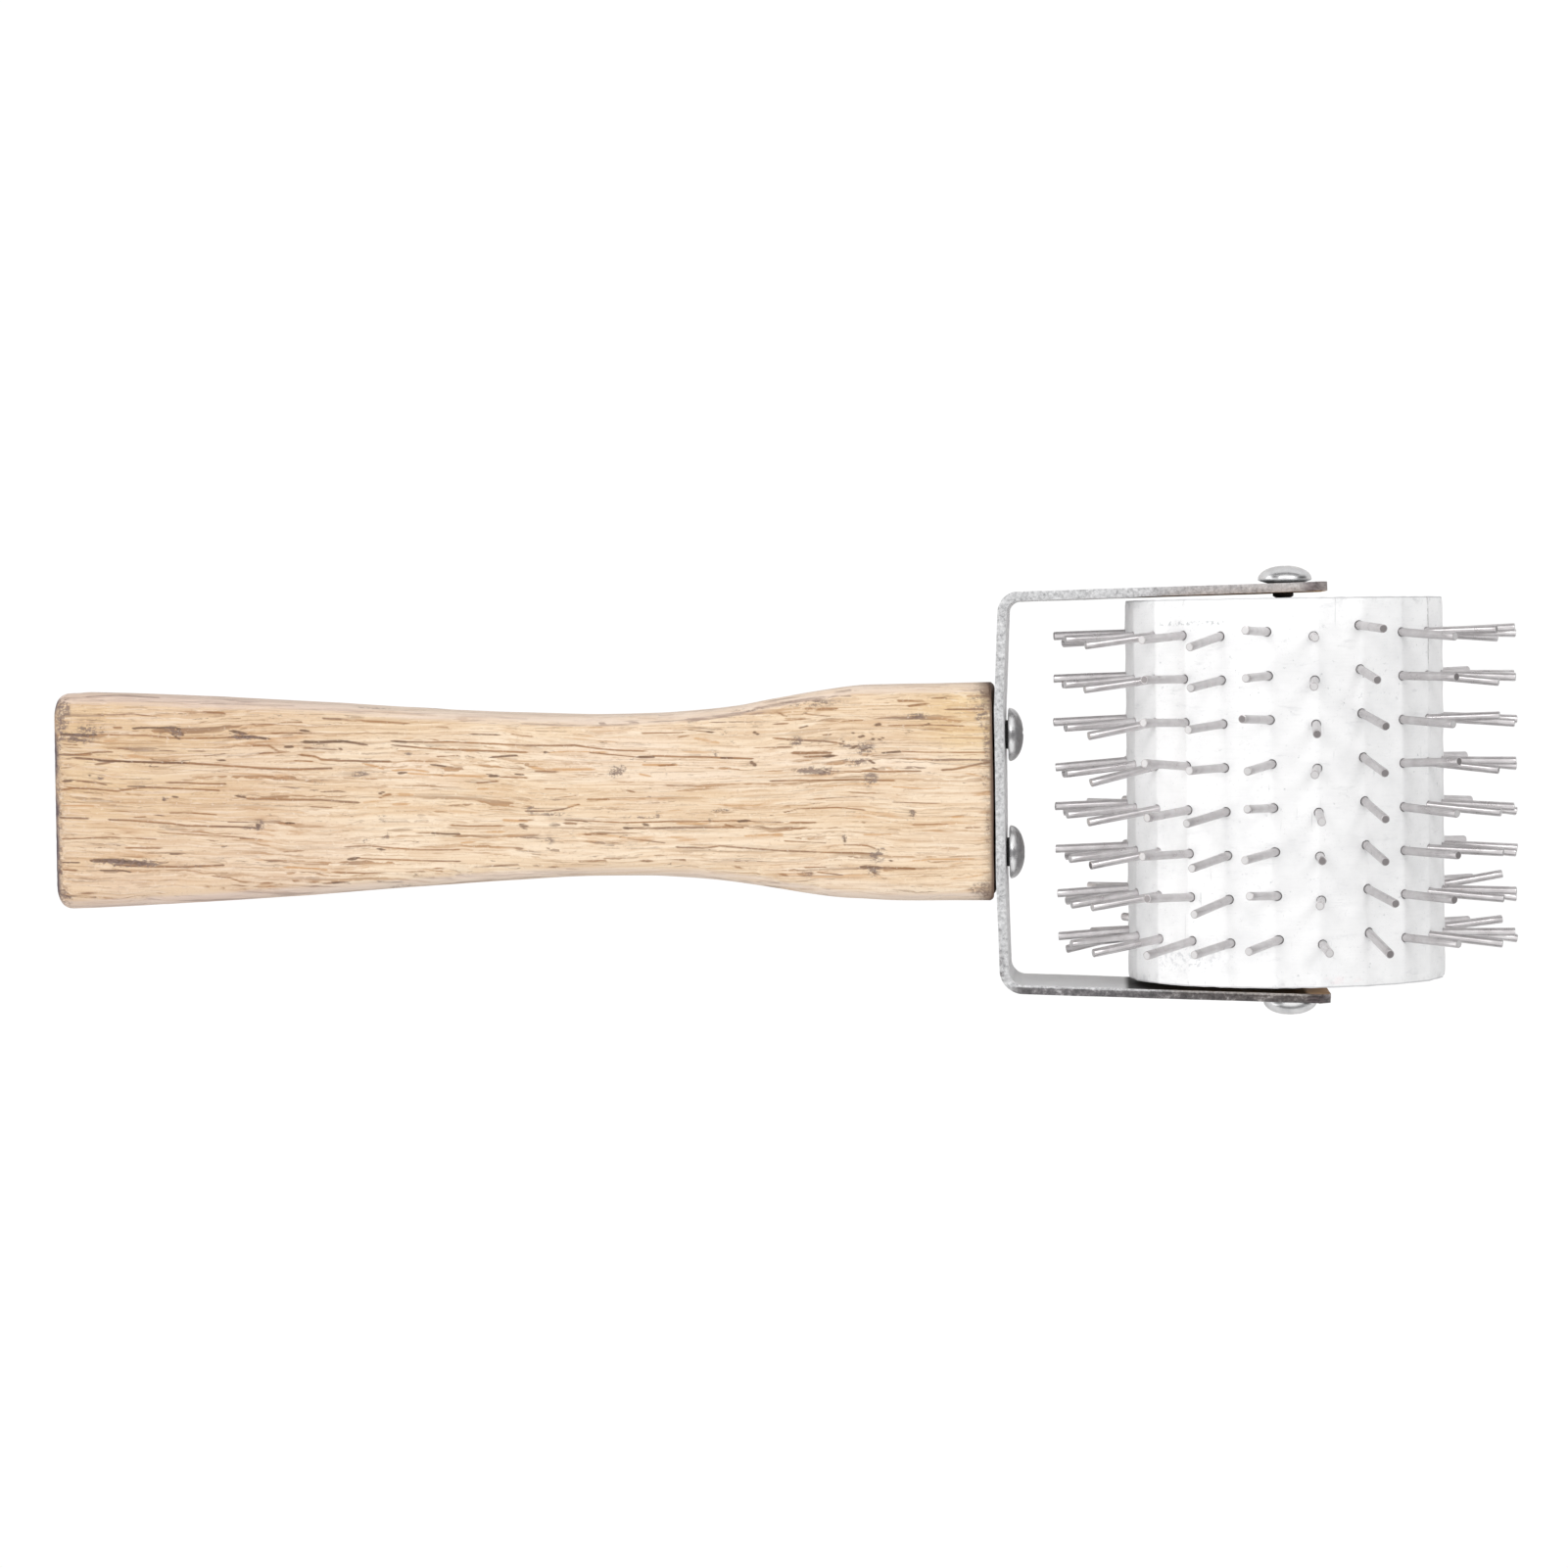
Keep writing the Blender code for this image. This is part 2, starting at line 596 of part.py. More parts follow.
def prism(name, loops, half_length, mat):
    """Flat loops (x, z round the roller's axis) carried along Y, as a filled and extruded
    curve turned to mesh. A second loop is a hole."""
    curve = bpy.data.curves.new(name, "CURVE")
    curve.dimensions = "2D"
    curve.fill_mode = "BOTH"
    curve.extrude = half_length
    for loop in loops:
        line = curve.splines.new("POLY")
        line.points.add(len(loop) - 1)
        for point, (x, z) in zip(line.points, loop):
            point.co = (x, z, 0, 1)
        line.use_cyclic_u = True
    outline = bpy.data.objects.new(name + "_outline", curve)
    PARTS.objects.link(outline)
    mesh = evaluated_mesh(outline)
    bpy.data.objects.remove(outline, do_unlink=True)
    bm = bmesh.new()
    bm.from_mesh(mesh)
    bmesh.ops.remove_doubles(bm, verts=bm.verts, dist=1e-6)
    bmesh.ops.dissolve_limit(bm, angle_limit=1e-4, verts=bm.verts, edges=bm.edges)
    bmesh.ops.recalc_face_normals(bm, faces=bm.faces)
    bm.to_mesh(mesh)
    bm.free()
    # The curve's own Z goes to -Y, and its Y to Z.
    frame = Matrix.Translation((AXLE_X, 0, 0)) @ Matrix.Rotation(math.pi / 2, 4, "X")
    return add_part(name, mesh, mat, frame)


def build_skin(mat):
    """Sheet tube, creased at each row and pierced for the needles."""
    outer, inner = [], []
    for row in ROW_NUMBERS:
        crease = (row_setting(row).angle, SKIN_CREASE_R)
        for angle, radius in (crease, (facet_angle(row), SKIN_FACET_R)):
            outer.append(polar(radius, angle))
            inner.append(polar(radius - SKIN_THICK, angle))
    obj = prism("drum_skin", (outer, inner), DRUM_HALF, mat)
    bm = bmesh.new()
    for row in ROW_NUMBERS:
        matrix = row_matrix(row)
        for frame in needle_frames(row):
            rod(bm, NEEDLE_HOLE_R, *NEEDLE_HOLE_CUT, NEEDLE_SIDES, matrix @ frame)
    add_boolean(obj, add_cutter("cut_needle_holes", bm), "needle_holes")
    finish(obj, sharp_deg=25)


def build_core(mat):
    """Core with a groove under each row for the backing bar."""
    edge_angle = math.asin(GROOVE_WIDE / 2 / CORE_R)
    floor_r = math.hypot(GROOVE_WIDE / 2, GROOVE_FLOOR)
    floor_angle = math.atan2(GROOVE_WIDE / 2, GROOVE_FLOOR)
    outline = []
    for row in ROW_NUMBERS:
        centre = row_setting(row).angle
        outline += [
            polar(CORE_R, centre - edge_angle),
            polar(floor_r, centre - floor_angle),
            polar(floor_r, centre + floor_angle),
            polar(CORE_R, centre + edge_angle),
            polar(CORE_R, facet_angle(row)),
        ]
    obj = prism("drum_core", (outline,), CORE_HALF, mat)
    for i, side in enumerate((1, -1), start=1):
        mouth = (AXLE_X, side * CORE_HALF, 0)
        depth = SCREW_LENGTH - (arm_outer(side) * side - CORE_HALF)
        cutter = pilot_cutter(f"cut_core_pilot_{i}", mouth, (0, -side, 0), depth)
        add_boolean(obj, cutter, f"pilot_{i}")
    finish(obj, sharp_deg=25)


def main():
    handle_wood = material(
        "handle_wood", color=(0.62, 0.43, 0.25), metallic=0.0, roughness=0.7)
    core_wood = material("core_wood", color=(0.55, 0.38, 0.22), metallic=0.0, roughness=0.8)
    strip = material(
        "galvanised_strip", color=(0.55, 0.57, 0.58), metallic=1.0, roughness=0.45)
    sheet = material("aluminium_sheet", color=(0.85, 0.86, 0.87), metallic=1.0, roughness=0.5)
    wire = material("needle_wire", color=(0.62, 0.60, 0.61), metallic=1.0, roughness=0.35)
    zinc = material("zinc_screw", color=(0.68, 0.69, 0.70), metallic=1.0, roughness=0.25)

    build_handle(handle_wood)
    build_yoke(strip)
    build_handle_screws(zinc)
    build_axle_screws(zinc)
    build_skin(sheet)
    build_core(core_wood)
    for row in ROW_NUMBERS:
        build_needle_row(row, wire)


main()
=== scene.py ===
"""Looks for the needle roller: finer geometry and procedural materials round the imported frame."""

import json
import math
import random

import bmesh
import bpy
import numpy as np
from mathutils import Matrix, Vector, noise

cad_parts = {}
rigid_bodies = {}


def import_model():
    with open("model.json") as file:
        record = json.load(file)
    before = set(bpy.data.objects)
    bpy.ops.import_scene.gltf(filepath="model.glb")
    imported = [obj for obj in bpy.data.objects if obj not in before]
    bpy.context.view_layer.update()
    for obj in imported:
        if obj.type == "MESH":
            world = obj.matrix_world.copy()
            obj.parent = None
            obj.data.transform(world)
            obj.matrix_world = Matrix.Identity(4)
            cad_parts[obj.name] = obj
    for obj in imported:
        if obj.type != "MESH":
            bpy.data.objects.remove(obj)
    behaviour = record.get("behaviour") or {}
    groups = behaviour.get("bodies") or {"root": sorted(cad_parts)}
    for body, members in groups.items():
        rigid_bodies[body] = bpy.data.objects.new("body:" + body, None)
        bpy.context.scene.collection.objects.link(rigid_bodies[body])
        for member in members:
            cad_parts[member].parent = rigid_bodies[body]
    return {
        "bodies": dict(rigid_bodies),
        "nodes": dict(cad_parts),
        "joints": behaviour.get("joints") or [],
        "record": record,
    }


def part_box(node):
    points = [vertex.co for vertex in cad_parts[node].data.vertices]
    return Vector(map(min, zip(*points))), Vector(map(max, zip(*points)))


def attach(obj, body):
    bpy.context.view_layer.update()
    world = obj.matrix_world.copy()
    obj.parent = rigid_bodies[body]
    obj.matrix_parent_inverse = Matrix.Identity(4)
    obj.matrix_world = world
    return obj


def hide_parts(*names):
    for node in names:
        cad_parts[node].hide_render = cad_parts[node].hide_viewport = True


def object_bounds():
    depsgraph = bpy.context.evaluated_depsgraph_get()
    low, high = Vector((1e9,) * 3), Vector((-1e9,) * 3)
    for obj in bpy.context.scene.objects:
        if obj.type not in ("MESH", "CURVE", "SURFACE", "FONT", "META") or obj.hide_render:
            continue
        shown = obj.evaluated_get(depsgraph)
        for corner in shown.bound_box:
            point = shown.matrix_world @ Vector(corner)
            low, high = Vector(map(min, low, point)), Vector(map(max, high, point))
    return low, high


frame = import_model()
CAD_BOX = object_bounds()
MM = 0.001
scene = bpy.context.scene

# ------------------------------------------------------------------ measures taken from the frame
JOINT = frame["joints"][0]
AXLE_X = JOINT["pos_m"][0]
HANDLE_LOW, HANDLE_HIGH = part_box("handle")
YOKE_LOW, YOKE_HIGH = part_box("yoke")
SKIN_LOW, SKIN_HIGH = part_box("drum_skin")

HANDLE_LENGTH = HANDLE_HIGH.x
HANDLE_HALF_THICK = HANDLE_HIGH.z
HANDLE_HALF_WIDTHS = (
    (0.0, 18.45), (13.7, 17.96), (29.7, 17.11), (45.7, 16.11), (61.7, 15.03), (77.7, 14.09), (92.7, 13.54),
    (101.7, 13.62), (108.7, 14.04), (115.7, 14.77), (122.7, 15.96), (129.7, 17.12), (136.7, 17.88), (144.7, 18.16),
    (159.4, 18.27),
)
OFF_CENTRE = ((9, 0.20), (25, 0.15), (41, 0.07), (65, 0.05), (77, 0.12), (93, 0.14), (105, 0.19), (117, 0.19), (121, 0.24), (129, 0.20), (137, 0.29), (141, 0.17), (149, 0.10), (157, 0.15))
STRIP_THICK = 1.5 * MM
STRIP_HALF = YOKE_HIGH.z
WEB_X = YOKE_LOW.x
ARM_END_X = YOKE_HIGH.x
YOKE_BEND, WEB_CURVE = 2.6 * MM, 40.0 * MM
ARM_TOP_Y, ARM_BOTTOM_Y = 33.72 * MM, -34.77 * MM
ARM_TOP_SPLAY, ARM_BOTTOM_SPLAY = math.radians(1.10), math.radians(2.2)
WEB_BENT_FROM, WEB_TOP_SPRUNG, WEB_BOTTOM_SPRUNG = 14.0 * MM, 0.85 * MM, 0.45 * MM
HANDLE_SCREW_Y = (9.5 * MM, -10.4 * MM)
DRUM_HALF = SKIN_HIGH.y
SKIN_CREASE_R, SKIN_FACET_R, SKIN_THICK = 26.6 * MM, 26.38 * MM, 0.5 * MM
ROWS, PER_ROW, ROW_PITCH = 22, 8, 7.16 * MM
NEEDLE_R, NEEDLE_TIP_R, NEEDLE_FOOT = 0.7 * MM, 38.8 * MM, 1.75 * MM
FIRST_ROW_DEG = 9.3
SET_ROWS = {
    -7: (0.7, 0.13, 0.35, (-2, -2, -5, -1, 0, -5, -7, 1), (-3, -2, -4, -7, -4, -6, -9, -14)),
    -6: (1.0, 0.1, 1.25, (3, -4, 4, 0, 7, 2, -4, 4), (-1, -1, -2, -4.5, -1, -2, -4, -4)),
    -5: (0.6, 0.2, 0.8, (5, 4, 5, 2, 4, 5, 5, 7), (-2, -3.5, -3.5, -5.5, -4, -5, -7.5, -4.5)),
    -4: (1.2, 0.3, 0.8, (-14, -15, -13, -10, -14, -16, -14, -11), (-6.5, -7, -9.5, -12, -8.5, -8.5, -7, -9)),
    -3: (0.7, 0.37, 0.8, (5, 6, 4, 4, 4, -2, 2, -1), (-3, 0, 1, 4, -4, 0, 2, -8)),
    -2: (-0.3, 0.39, 0.6, (-1, -2, -5, -6, -9, -7, -7, -8), (-8, -5, -3, 0, -7, -7, -8, -5)),
    -1: (0.4, 0.45, 1.2, (-10, -12, -16, -14, -16, -20, -18, -20), (1, -1, 2, -4, 1, -4, 3, -5)),
    0: (0.0, 0.32, 0.4, (-10, -12, -11, -14, -10, -11, -14, -8), (-1, -4, -6, -3, -5, 0, -1, -3)),
    1: (0.9, 0.42, 2.1, (-10, -16, -11, -13, -14, -16, -10, -15), (-3, -8, -9, -11, -12, -10, -8, -13)),
    2: (2.0, 0.08, 0.9, (-3, -2, -6, 0, -2, -2, -7, -2), (-4, -1, -3, 2, -4, -2, -2, -2)),
    3: (1.5, 0.2, 0.9, (10, 12, 12, 11, 11, 13, 14, 14), (1.5, -5.5, 2, -6.5, -5.5, -2.5, -5, -6)),
    4: (0.8, 0.1, 0.9, (5, 3, 4, 6, 2, 4, 4, 3), (2.5, -2.5, -4.5, -1, -2.5, -4.5, -1, 0)),
    5: (0.3, 0.2, 0.9, (1, 3, 0, 2, 0, 0, 0, 1), (-2, -1, -2.5, -6, -8, -3.5, -9, -8)),
    6: (-0.2, 0.25, 0.6, (3, 4, -2, -2, 3, -3, -9, -4), (-4, -3, -4, -4, -5, -5, 8.5, 5.5)),
}


# ------------------------------------------------------------------ node graph helper
class Graph:
    """Short names for building a material's node tree."""

    def __init__(self, name):
        self.mat = bpy.data.materials.new(name)
        self.mat.use_nodes = True
        self.tree = self.mat.node_tree
        self.bsdf = self.tree.nodes["Principled BSDF"]
        self.out = self.tree.nodes["Material Output"]
        coord = self.tree.nodes.new("ShaderNodeTexCoord")
        self.mm = self.vec_math("SCALE", coord.outputs["Object"], scale=1000.0)

    def put(self, socket, value):
        if value is None:
            return
        if isinstance(value, bpy.types.NodeSocket):
            self.tree.links.new(value, socket)
        elif socket.type == "RGBA" and not isinstance(value, (int, float)) and len(value) == 3:
            socket.default_value = (*value, 1.0)
        else:
            socket.default_value = value

    def vec_math(self, op, a, b=None, scale=None):
        n = self.tree.nodes.new("ShaderNodeVectorMath")
        n.operation = op
        self.put(n.inputs[0], a)
        if b is not None:
            self.put(n.inputs[1], b)
        if scale is not None:
            self.put(n.inputs["Scale"], scale)
        return n.outputs["Value"] if op in ("LENGTH", "DOT_PRODUCT", "DISTANCE") else n.outputs["Vector"]

    def math(self, op, a, b=None, c=None, clamp=False):
        n = self.tree.nodes.new("ShaderNodeMath")
        n.operation = op
        n.use_clamp = clamp
        for socket, value in zip(n.inputs, (a, b, c)):
            self.put(socket, value)
        return n.outputs[0]

    def xyz(self, v):
        n = self.tree.nodes.new("ShaderNodeSeparateXYZ")
        self.put(n.inputs[0], v)
        return n.outputs[0], n.outputs[1], n.outputs[2]

    def join(self, x, y, z):
        n = self.tree.nodes.new("ShaderNodeCombineXYZ")
        for socket, value in zip(n.inputs, (x, y, z)):
            self.put(socket, value)
        return n.outputs[0]

    def noise(self, v, scale=1.0, detail=2.0, rough=0.5, distortion=0.0, dims="3D", w=None):
        n = self.tree.nodes.new("ShaderNodeTexNoise")
        n.noise_dimensions = dims
        self.put(n.inputs["Vector"], v)
        self.put(n.inputs["Scale"], scale)
        self.put(n.inputs["Detail"], detail)
        self.put(n.inputs["Roughness"], rough)
        self.put(n.inputs["Distortion"], distortion)
        if w is not None:
            self.put(n.inputs["W"], w)
        return n.outputs["Fac"]

    def voronoi(self, v, scale=1.0, feature="F1", out="Distance", randomness=1.0):
        n = self.tree.nodes.new("ShaderNodeTexVoronoi")
        n.feature = feature
        self.put(n.inputs["Vector"], v)
        self.put(n.inputs["Scale"], scale)
        self.put(n.inputs["Randomness"], randomness)
        return n.outputs[out]

    def ramp(self, fac, stops, interp="LINEAR"):
        n = self.tree.nodes.new("ShaderNodeValToRGB")
        n.color_ramp.interpolation = interp
        while len(n.color_ramp.elements) > 1:
            n.color_ramp.elements.remove(n.color_ramp.elements[-1])
        for i, (pos, colour) in enumerate(stops):
            e = n.color_ramp.elements[0] if i == 0 else n.color_ramp.elements.new(pos)
            e.position = pos
            if isinstance(colour, (int, float)):
                colour = (colour,) * 3
            e.color = (*colour, 1.0)
        self.put(n.inputs[0], fac)
        return n.outputs[0]

    def span(self, v, low, high, to_low=0.0, to_high=1.0, smooth=True):
        n = self.tree.nodes.new("ShaderNodeMapRange")
        n.interpolation_type = "SMOOTHSTEP" if smooth else "LINEAR"
        for key, value in (("Value", v), ("From Min", low), ("From Max", high), ("To Min", to_low), ("To Max", to_high)):
            self.put(n.inputs[key], value)
        return n.outputs[0]

    def mix(self, fac, a, b, mode="MIX"):
        n = self.tree.nodes.new("ShaderNodeMix")
        n.data_type = "RGBA"
        n.blend_type = mode
        n.clamp_factor = True
        self.put(n.inputs[0], fac)
        self.put(n.inputs[6], a)
        self.put(n.inputs[7], b)
        return n.outputs[2]

    def attr(self, name):
        n = self.tree.nodes.new("ShaderNodeAttribute")
        n.attribute_name = name
        return n.outputs["Fac"]

    def bump(self, height, distance, strength=1.0, normal=None):
        n = self.tree.nodes.new("ShaderNodeBump")
        self.put(n.inputs["Height"], height)
        n.inputs["Distance"].default_value = distance
        n.inputs["Strength"].default_value = strength
        if normal is not None:
            self.put(n.inputs["Normal"], normal)
        return n.outputs[0]

    def finish(self, **inputs):
        for key, value in inputs.items():
            self.put(self.bsdf.inputs[key.replace("_", " ")], value)
        return self.mat


def lin(r, g, b, gain=1.0):
    """sRGB 0-255 as linear."""
    def one(c):
        c /= 255
        return gain * (c / 12.92 if c <= 0.04045 else ((c + 0.055) / 1.055) ** 2.4)
    return (one(r), one(g), one(b))


# ------------------------------------------------------------------ materials
EXPOSED = 0.86  # albedo of a surface whose colour shows as sampled, under this light


def wood_material():
    g = Graph("handle_wood_grain")
    x, y, z = g.xyz(g.mm)
    # The grain crosses the handle at a slight slant and wanders a little on its way.
    slant = g.math("MULTIPLY", g.math("SINE", g.math("MULTIPLY", x, math.pi / 250)), 2.9)
    wander = g.noise(g.vec_math("MULTIPLY", g.mm, (0.020, 0.06, 0.06)), detail=1.0)
    ripple = g.noise(g.vec_math("MULTIPLY", g.vec_math("ADD", g.mm, (61.0, 7.0, 3.0)), (0.075, 0.22, 0.22)), detail=2.0)
    shift = g.math("ADD", slant, g.math("ADD", g.math("MULTIPLY", g.math("SUBTRACT", wander, 0.5), 4.5), g.math("MULTIPLY", g.math("SUBTRACT", ripple, 0.5), 1.7)))
    p = g.join(x, g.math("ADD", y, shift), g.math("ADD", z, g.math("MULTIPLY", shift, 0.7)))

    def along(sx, sy, seed=0.0, **kw):
        return g.noise(g.vec_math("MULTIPLY", g.vec_math("ADD", p, (seed * 13.7, seed * 5.1, seed * 3.3)), (sx, sy, sy)), **kw)

    # Broad tone
    broad = along(0.012, 0.16, 1.0, detail=3.0, rough=0.55)
    tone = g.ramp(broad, (
        (0.30, lin(236, 207, 172, EXPOSED)), (0.45, lin(244, 219, 188, EXPOSED)),
        (0.58, lin(249, 228, 202, EXPOSED)), (0.75, lin(240, 213, 180, EXPOSED)),
    ))
    patch = g.noise(g.vec_math("MULTIPLY", g.mm, (0.035, 0.09, 0.09)), detail=3.0)
    tone = g.mix(g.span(patch, 0.48, 0.70, 0.0, 0.6), tone, lin(250, 229, 208, EXPOSED))
    butt_yellow = g.math("MULTIPLY", g.span(x, 70.0, 6.0), g.span(y, -17.0, 6.0, 0.45, 1.0))
    front_yellow = g.math("MULTIPLY", g.span(x, 140.0, 156.0), g.span(y, 3.0, 11.0))
    yellow = g.math("MAXIMUM", butt_yellow, g.math("MULTIPLY", front_yellow, 1.3))
    yellow = g.math("MULTIPLY", yellow, g.span(patch, 0.25, 0.55, 0.6, 1.0))
    tone = g.mix(g.math("MULTIPLY", yellow, 0.9), tone, g.mix(1.0, tone, (0.955, 0.90, 0.735), "MULTIPLY"))
    # Fibre: fine, close and faint
    fibre = along(0.05, 2.6, 2.0, detail=4.0, rough=0.6)
    tone = g.mix(g.span(fibre, 0.40, 0.64, 0.0, 0.55), tone, lin(218, 182, 144, EXPOSED))
    sheen = along(0.07, 2.9, 2.5, detail=3.0, rough=0.6)
    tone = g.mix(g.span(sheen, 0.50, 0.68, 0.0, 0.6), tone, lin(255, 238, 214, EXPOSED))
    # Open vessels: long hair lines, shorter strokes and a scatter of dashes, gathered into bands
    gather = g.span(along(0.020, 0.26, 3.0, detail=2.0), 0.36, 0.62, 0.22, 1.0)
    gather2 = g.span(along(0.05, 0.40, 3.7, detail=2.0), 0.40, 0.64)
    warp = g.math("MULTIPLY", g.math("SUBTRACT", g.noise(g.vec_math("MULTIPLY", g.mm, (0.45, 1.0, 1.0)), detail=2.0), 0.5), 0.55)
    q = g.join(x, g.math("ADD", g.xyz(p)[1], warp), g.math("ADD", g.xyz(p)[2], warp))

    def lines_at(sx, sy, seed, low, high, **kw):
        v = g.noise(g.vec_math("MULTIPLY", g.vec_math("ADD", q, (seed * 13.7, seed * 5.1, seed * 3.3)), (sx, sy, sy)), **kw)
        return g.span(v, low, high)

    long_lines = g.math("MULTIPLY", lines_at(0.019, 1.45, 4.0, 0.605, 0.665, detail=1.0, rough=0.4), gather)
    mid_lines = g.math("MULTIPLY", lines_at(0.048, 1.30, 5.0, 0.625, 0.685, detail=1.5, rough=0.45), g.math("ADD", g.math("MULTIPLY", gather2, 0.8), 0.2))
    dashes = g.math("MULTIPLY", lines_at(0.16, 2.0, 6.0, 0.645, 0.72, detail=1.0), g.math("ADD", g.math("MULTIPLY", gather, 0.7), 0.2))
    hairs = g.math("MULTIPLY", lines_at(0.055, 3.8, 7.0, 0.56, 0.68, detail=2.0), 0.5)
    lines = g.math("MAXIMUM", g.math("MAXIMUM", long_lines, mid_lines), g.math("MAXIMUM", dashes, hairs))
    patchy = along(0.12, 1.1, 8.5, detail=2.0)
    lines = g.math("MULTIPLY", lines, g.span(patchy, 0.28, 0.52, 0.35, 1.0))
    # Warm smears beside the vessels
    smear = g.math("MULTIPLY", g.span(along(0.07, 0.75, 8.0, detail=3.0, rough=0.6), 0.575, 0.70), g.span(along(0.03, 0.2, 8.2, detail=1.0), 0.36, 0.6, 0.25, 1.0))
    colour = g.mix(g.math("MULTIPLY", smear, 0.70), tone, lin(210, 164, 118, EXPOSED))
    hue = along(0.05, 0.6, 9.0, detail=1.0)
    stroke = g.ramp(hue, ((0.36, lin(150, 112, 80, EXPOSED)), (0.5, lin(186, 138, 92, EXPOSED)), (0.64, lin(138, 108, 88, EXPOSED))))
    colour = g.mix(g.math("MULTIPLY", lines, 0.80), colour, stroke)
    # The marked grain lines, broken into fibres and specks
    ragged = along(0.42, 3.4, 20.0, detail=3.0, rough=0.7)
    ragged2 = along(0.16, 1.6, 21.0, detail=3.0, rough=0.7)
    broken = g.math("ADD", g.span(ragged, 0.32, 0.62, 0.0, 0.55), g.span(ragged2, 0.30, 0.55, 0.2, 0.6))

    def stroke_mask(name, low, high):
        return g.math("MULTIPLY", g.span(g.math("MULTIPLY", g.attr(name), g.math("ADD", g.math("MULTIPLY", broken, 0.95), 0.30)), low, high), 1.0, clamp=True)

    brown, ochre, dark_line, pale = stroke_mask("brown", 0.10, 0.72), stroke_mask("ochre", 0.12, 0.85), stroke_mask("dark", 0.12, 0.70), stroke_mask("pale", 0.12, 0.75)
    colour = g.mix(g.math("MULTIPLY", ochre, 0.85), colour, g.ramp(ragged, ((0.35, lin(196, 146, 98, EXPOSED)), (0.6, lin(216, 168, 118, EXPOSED)))))
    colour = g.mix(g.math("MULTIPLY", brown, 0.88), colour, g.ramp(hue, ((0.36, lin(150, 108, 72, EXPOSED)), (0.5, lin(170, 124, 82, EXPOSED)), (0.64, lin(146, 112, 86, EXPOSED)))))
    colour = g.mix(g.math("MULTIPLY", dark_line, 0.92), colour, g.ramp(ragged, ((0.35, lin(102, 80, 64, EXPOSED)), (0.65, lin(146, 114, 90, EXPOSED)))))
    # Pores and fine grit
    grit = g.noise(g.mm, 1.9, detail=3.0, rough=0.75)
    colour = g.mix(g.span(grit, 0.56, 0.74, 0.0, 0.42), colour, lin(196, 164, 134, EXPOSED))
    light_grit = g.noise(g.vec_math("ADD", g.mm, (17.0, 31.0, 5.0)), 1.5, detail=3.0, rough=0.7)
    colour = g.mix(g.span(light_grit, 0.58, 0.76, 0.0, 0.5), colour, lin(255, 240, 220, EXPOSED))
    pore = g.math("MULTIPLY", g.span(along(0.30, 1.5, 10.0, detail=3.0, rough=0.7), 0.66, 0.74), 0.75)
    colour = g.mix(pore, colour, lin(134, 108, 90, EXPOSED))
    # Greyed, worn rounding along the long edges, ruled with darker lines
    edge = g.attr("edge")
    grey_break = g.span(along(0.03, 0.9, 11.0, detail=3.0), 0.30, 0.60, 0.55, 1.0)
    colour = g.mix(g.math("MULTIPLY", g.math("MULTIPLY", edge, grey_break), 0.70), colour, lin(246, 228, 214, EXPOSED))
    edge_lines = g.math("MULTIPLY", edge, g.span(along(0.016, 1.1, 12.0, detail=3.0, rough=0.6), 0.53, 0.66))
    colour = g.mix(g.math("MULTIPLY", edge_lines, 0.60), colour, lin(176, 152, 138, EXPOSED))
    colour = g.mix(g.math("MULTIPLY", pale, 0.75), colour, lin(168, 144, 130, EXPOSED))
    # Grime: handled corners, smudges and the dirty ends, broken up along the grain
    break_up = along(0.30, 1.4, 13.0, detail=4.0, rough=0.7)
    speckle = g.noise(g.mm, 1.9, detail=3.0, rough=0.8)
    dirt = g.attr("dirt")
    mask = g.math("ADD", g.math("MULTIPLY", break_up, 0.55), g.math("MULTIPLY", speckle, 0.45))
    dirty = g.math("MULTIPLY", g.span(dirt, 0.10, 0.80), g.span(g.math("ADD", mask, g.math("MULTIPLY", dirt, 0.035)), 0.50, 0.60), clamp=True)
    colour = g.mix(g.math("MULTIPLY", dirty, 0.84), colour, g.ramp(speckle, ((0.38, lin(96, 82, 80, EXPOSED)), (0.6, lin(150, 128, 116, EXPOSED)))))
    # The sawn ends' edges, darkened to near black at the rims and fading inwards, widest towards the front corners
    end_dark = g.attr("ends")
    end_break = g.span(g.math("ADD", g.noise(g.vec_math("MULTIPLY", g.mm, (1.3, 1.3, 1.3)), detail=4.0, rough=0.75), g.math("MULTIPLY", end_dark, 0.34)), 0.44, 0.66, 0.15, 1.0)
    colour = g.mix(g.math("MULTIPLY", g.math("MULTIPLY", g.math("MULTIPLY", end_dark, 1.25), end_break), 0.95, clamp=True), colour, g.mix(g.span(x, 60.0, 90.0), lin(92, 80, 86, EXPOSED), lin(112, 90, 76, EXPOSED)))
    # The butt half is a shade darker from hands
    colour = g.mix(g.span(x, 62.0, 30.0), colour, (0.93, 0.905, 0.93), "MULTIPLY")
    # Surface: open pores and raised fibre
    height = g.math("SUBTRACT", g.math("MULTIPLY", fibre, 0.35), g.math("ADD", g.math("MULTIPLY", lines, 0.9), g.math("MULTIPLY", pore, 0.6)))
    height = g.math("SUBTRACT", height, g.math("MULTIPLY", dirty, 0.5))
    rough = g.math("ADD", 0.52, g.math("MULTIPLY", g.noise(g.mm, 0.35, detail=4.0), 0.3))
    return g.finish(Base_Color=colour, Roughness=rough, Normal=g.bump(height, 0.00014, 0.5), Specular_IOR_Level=0.3)


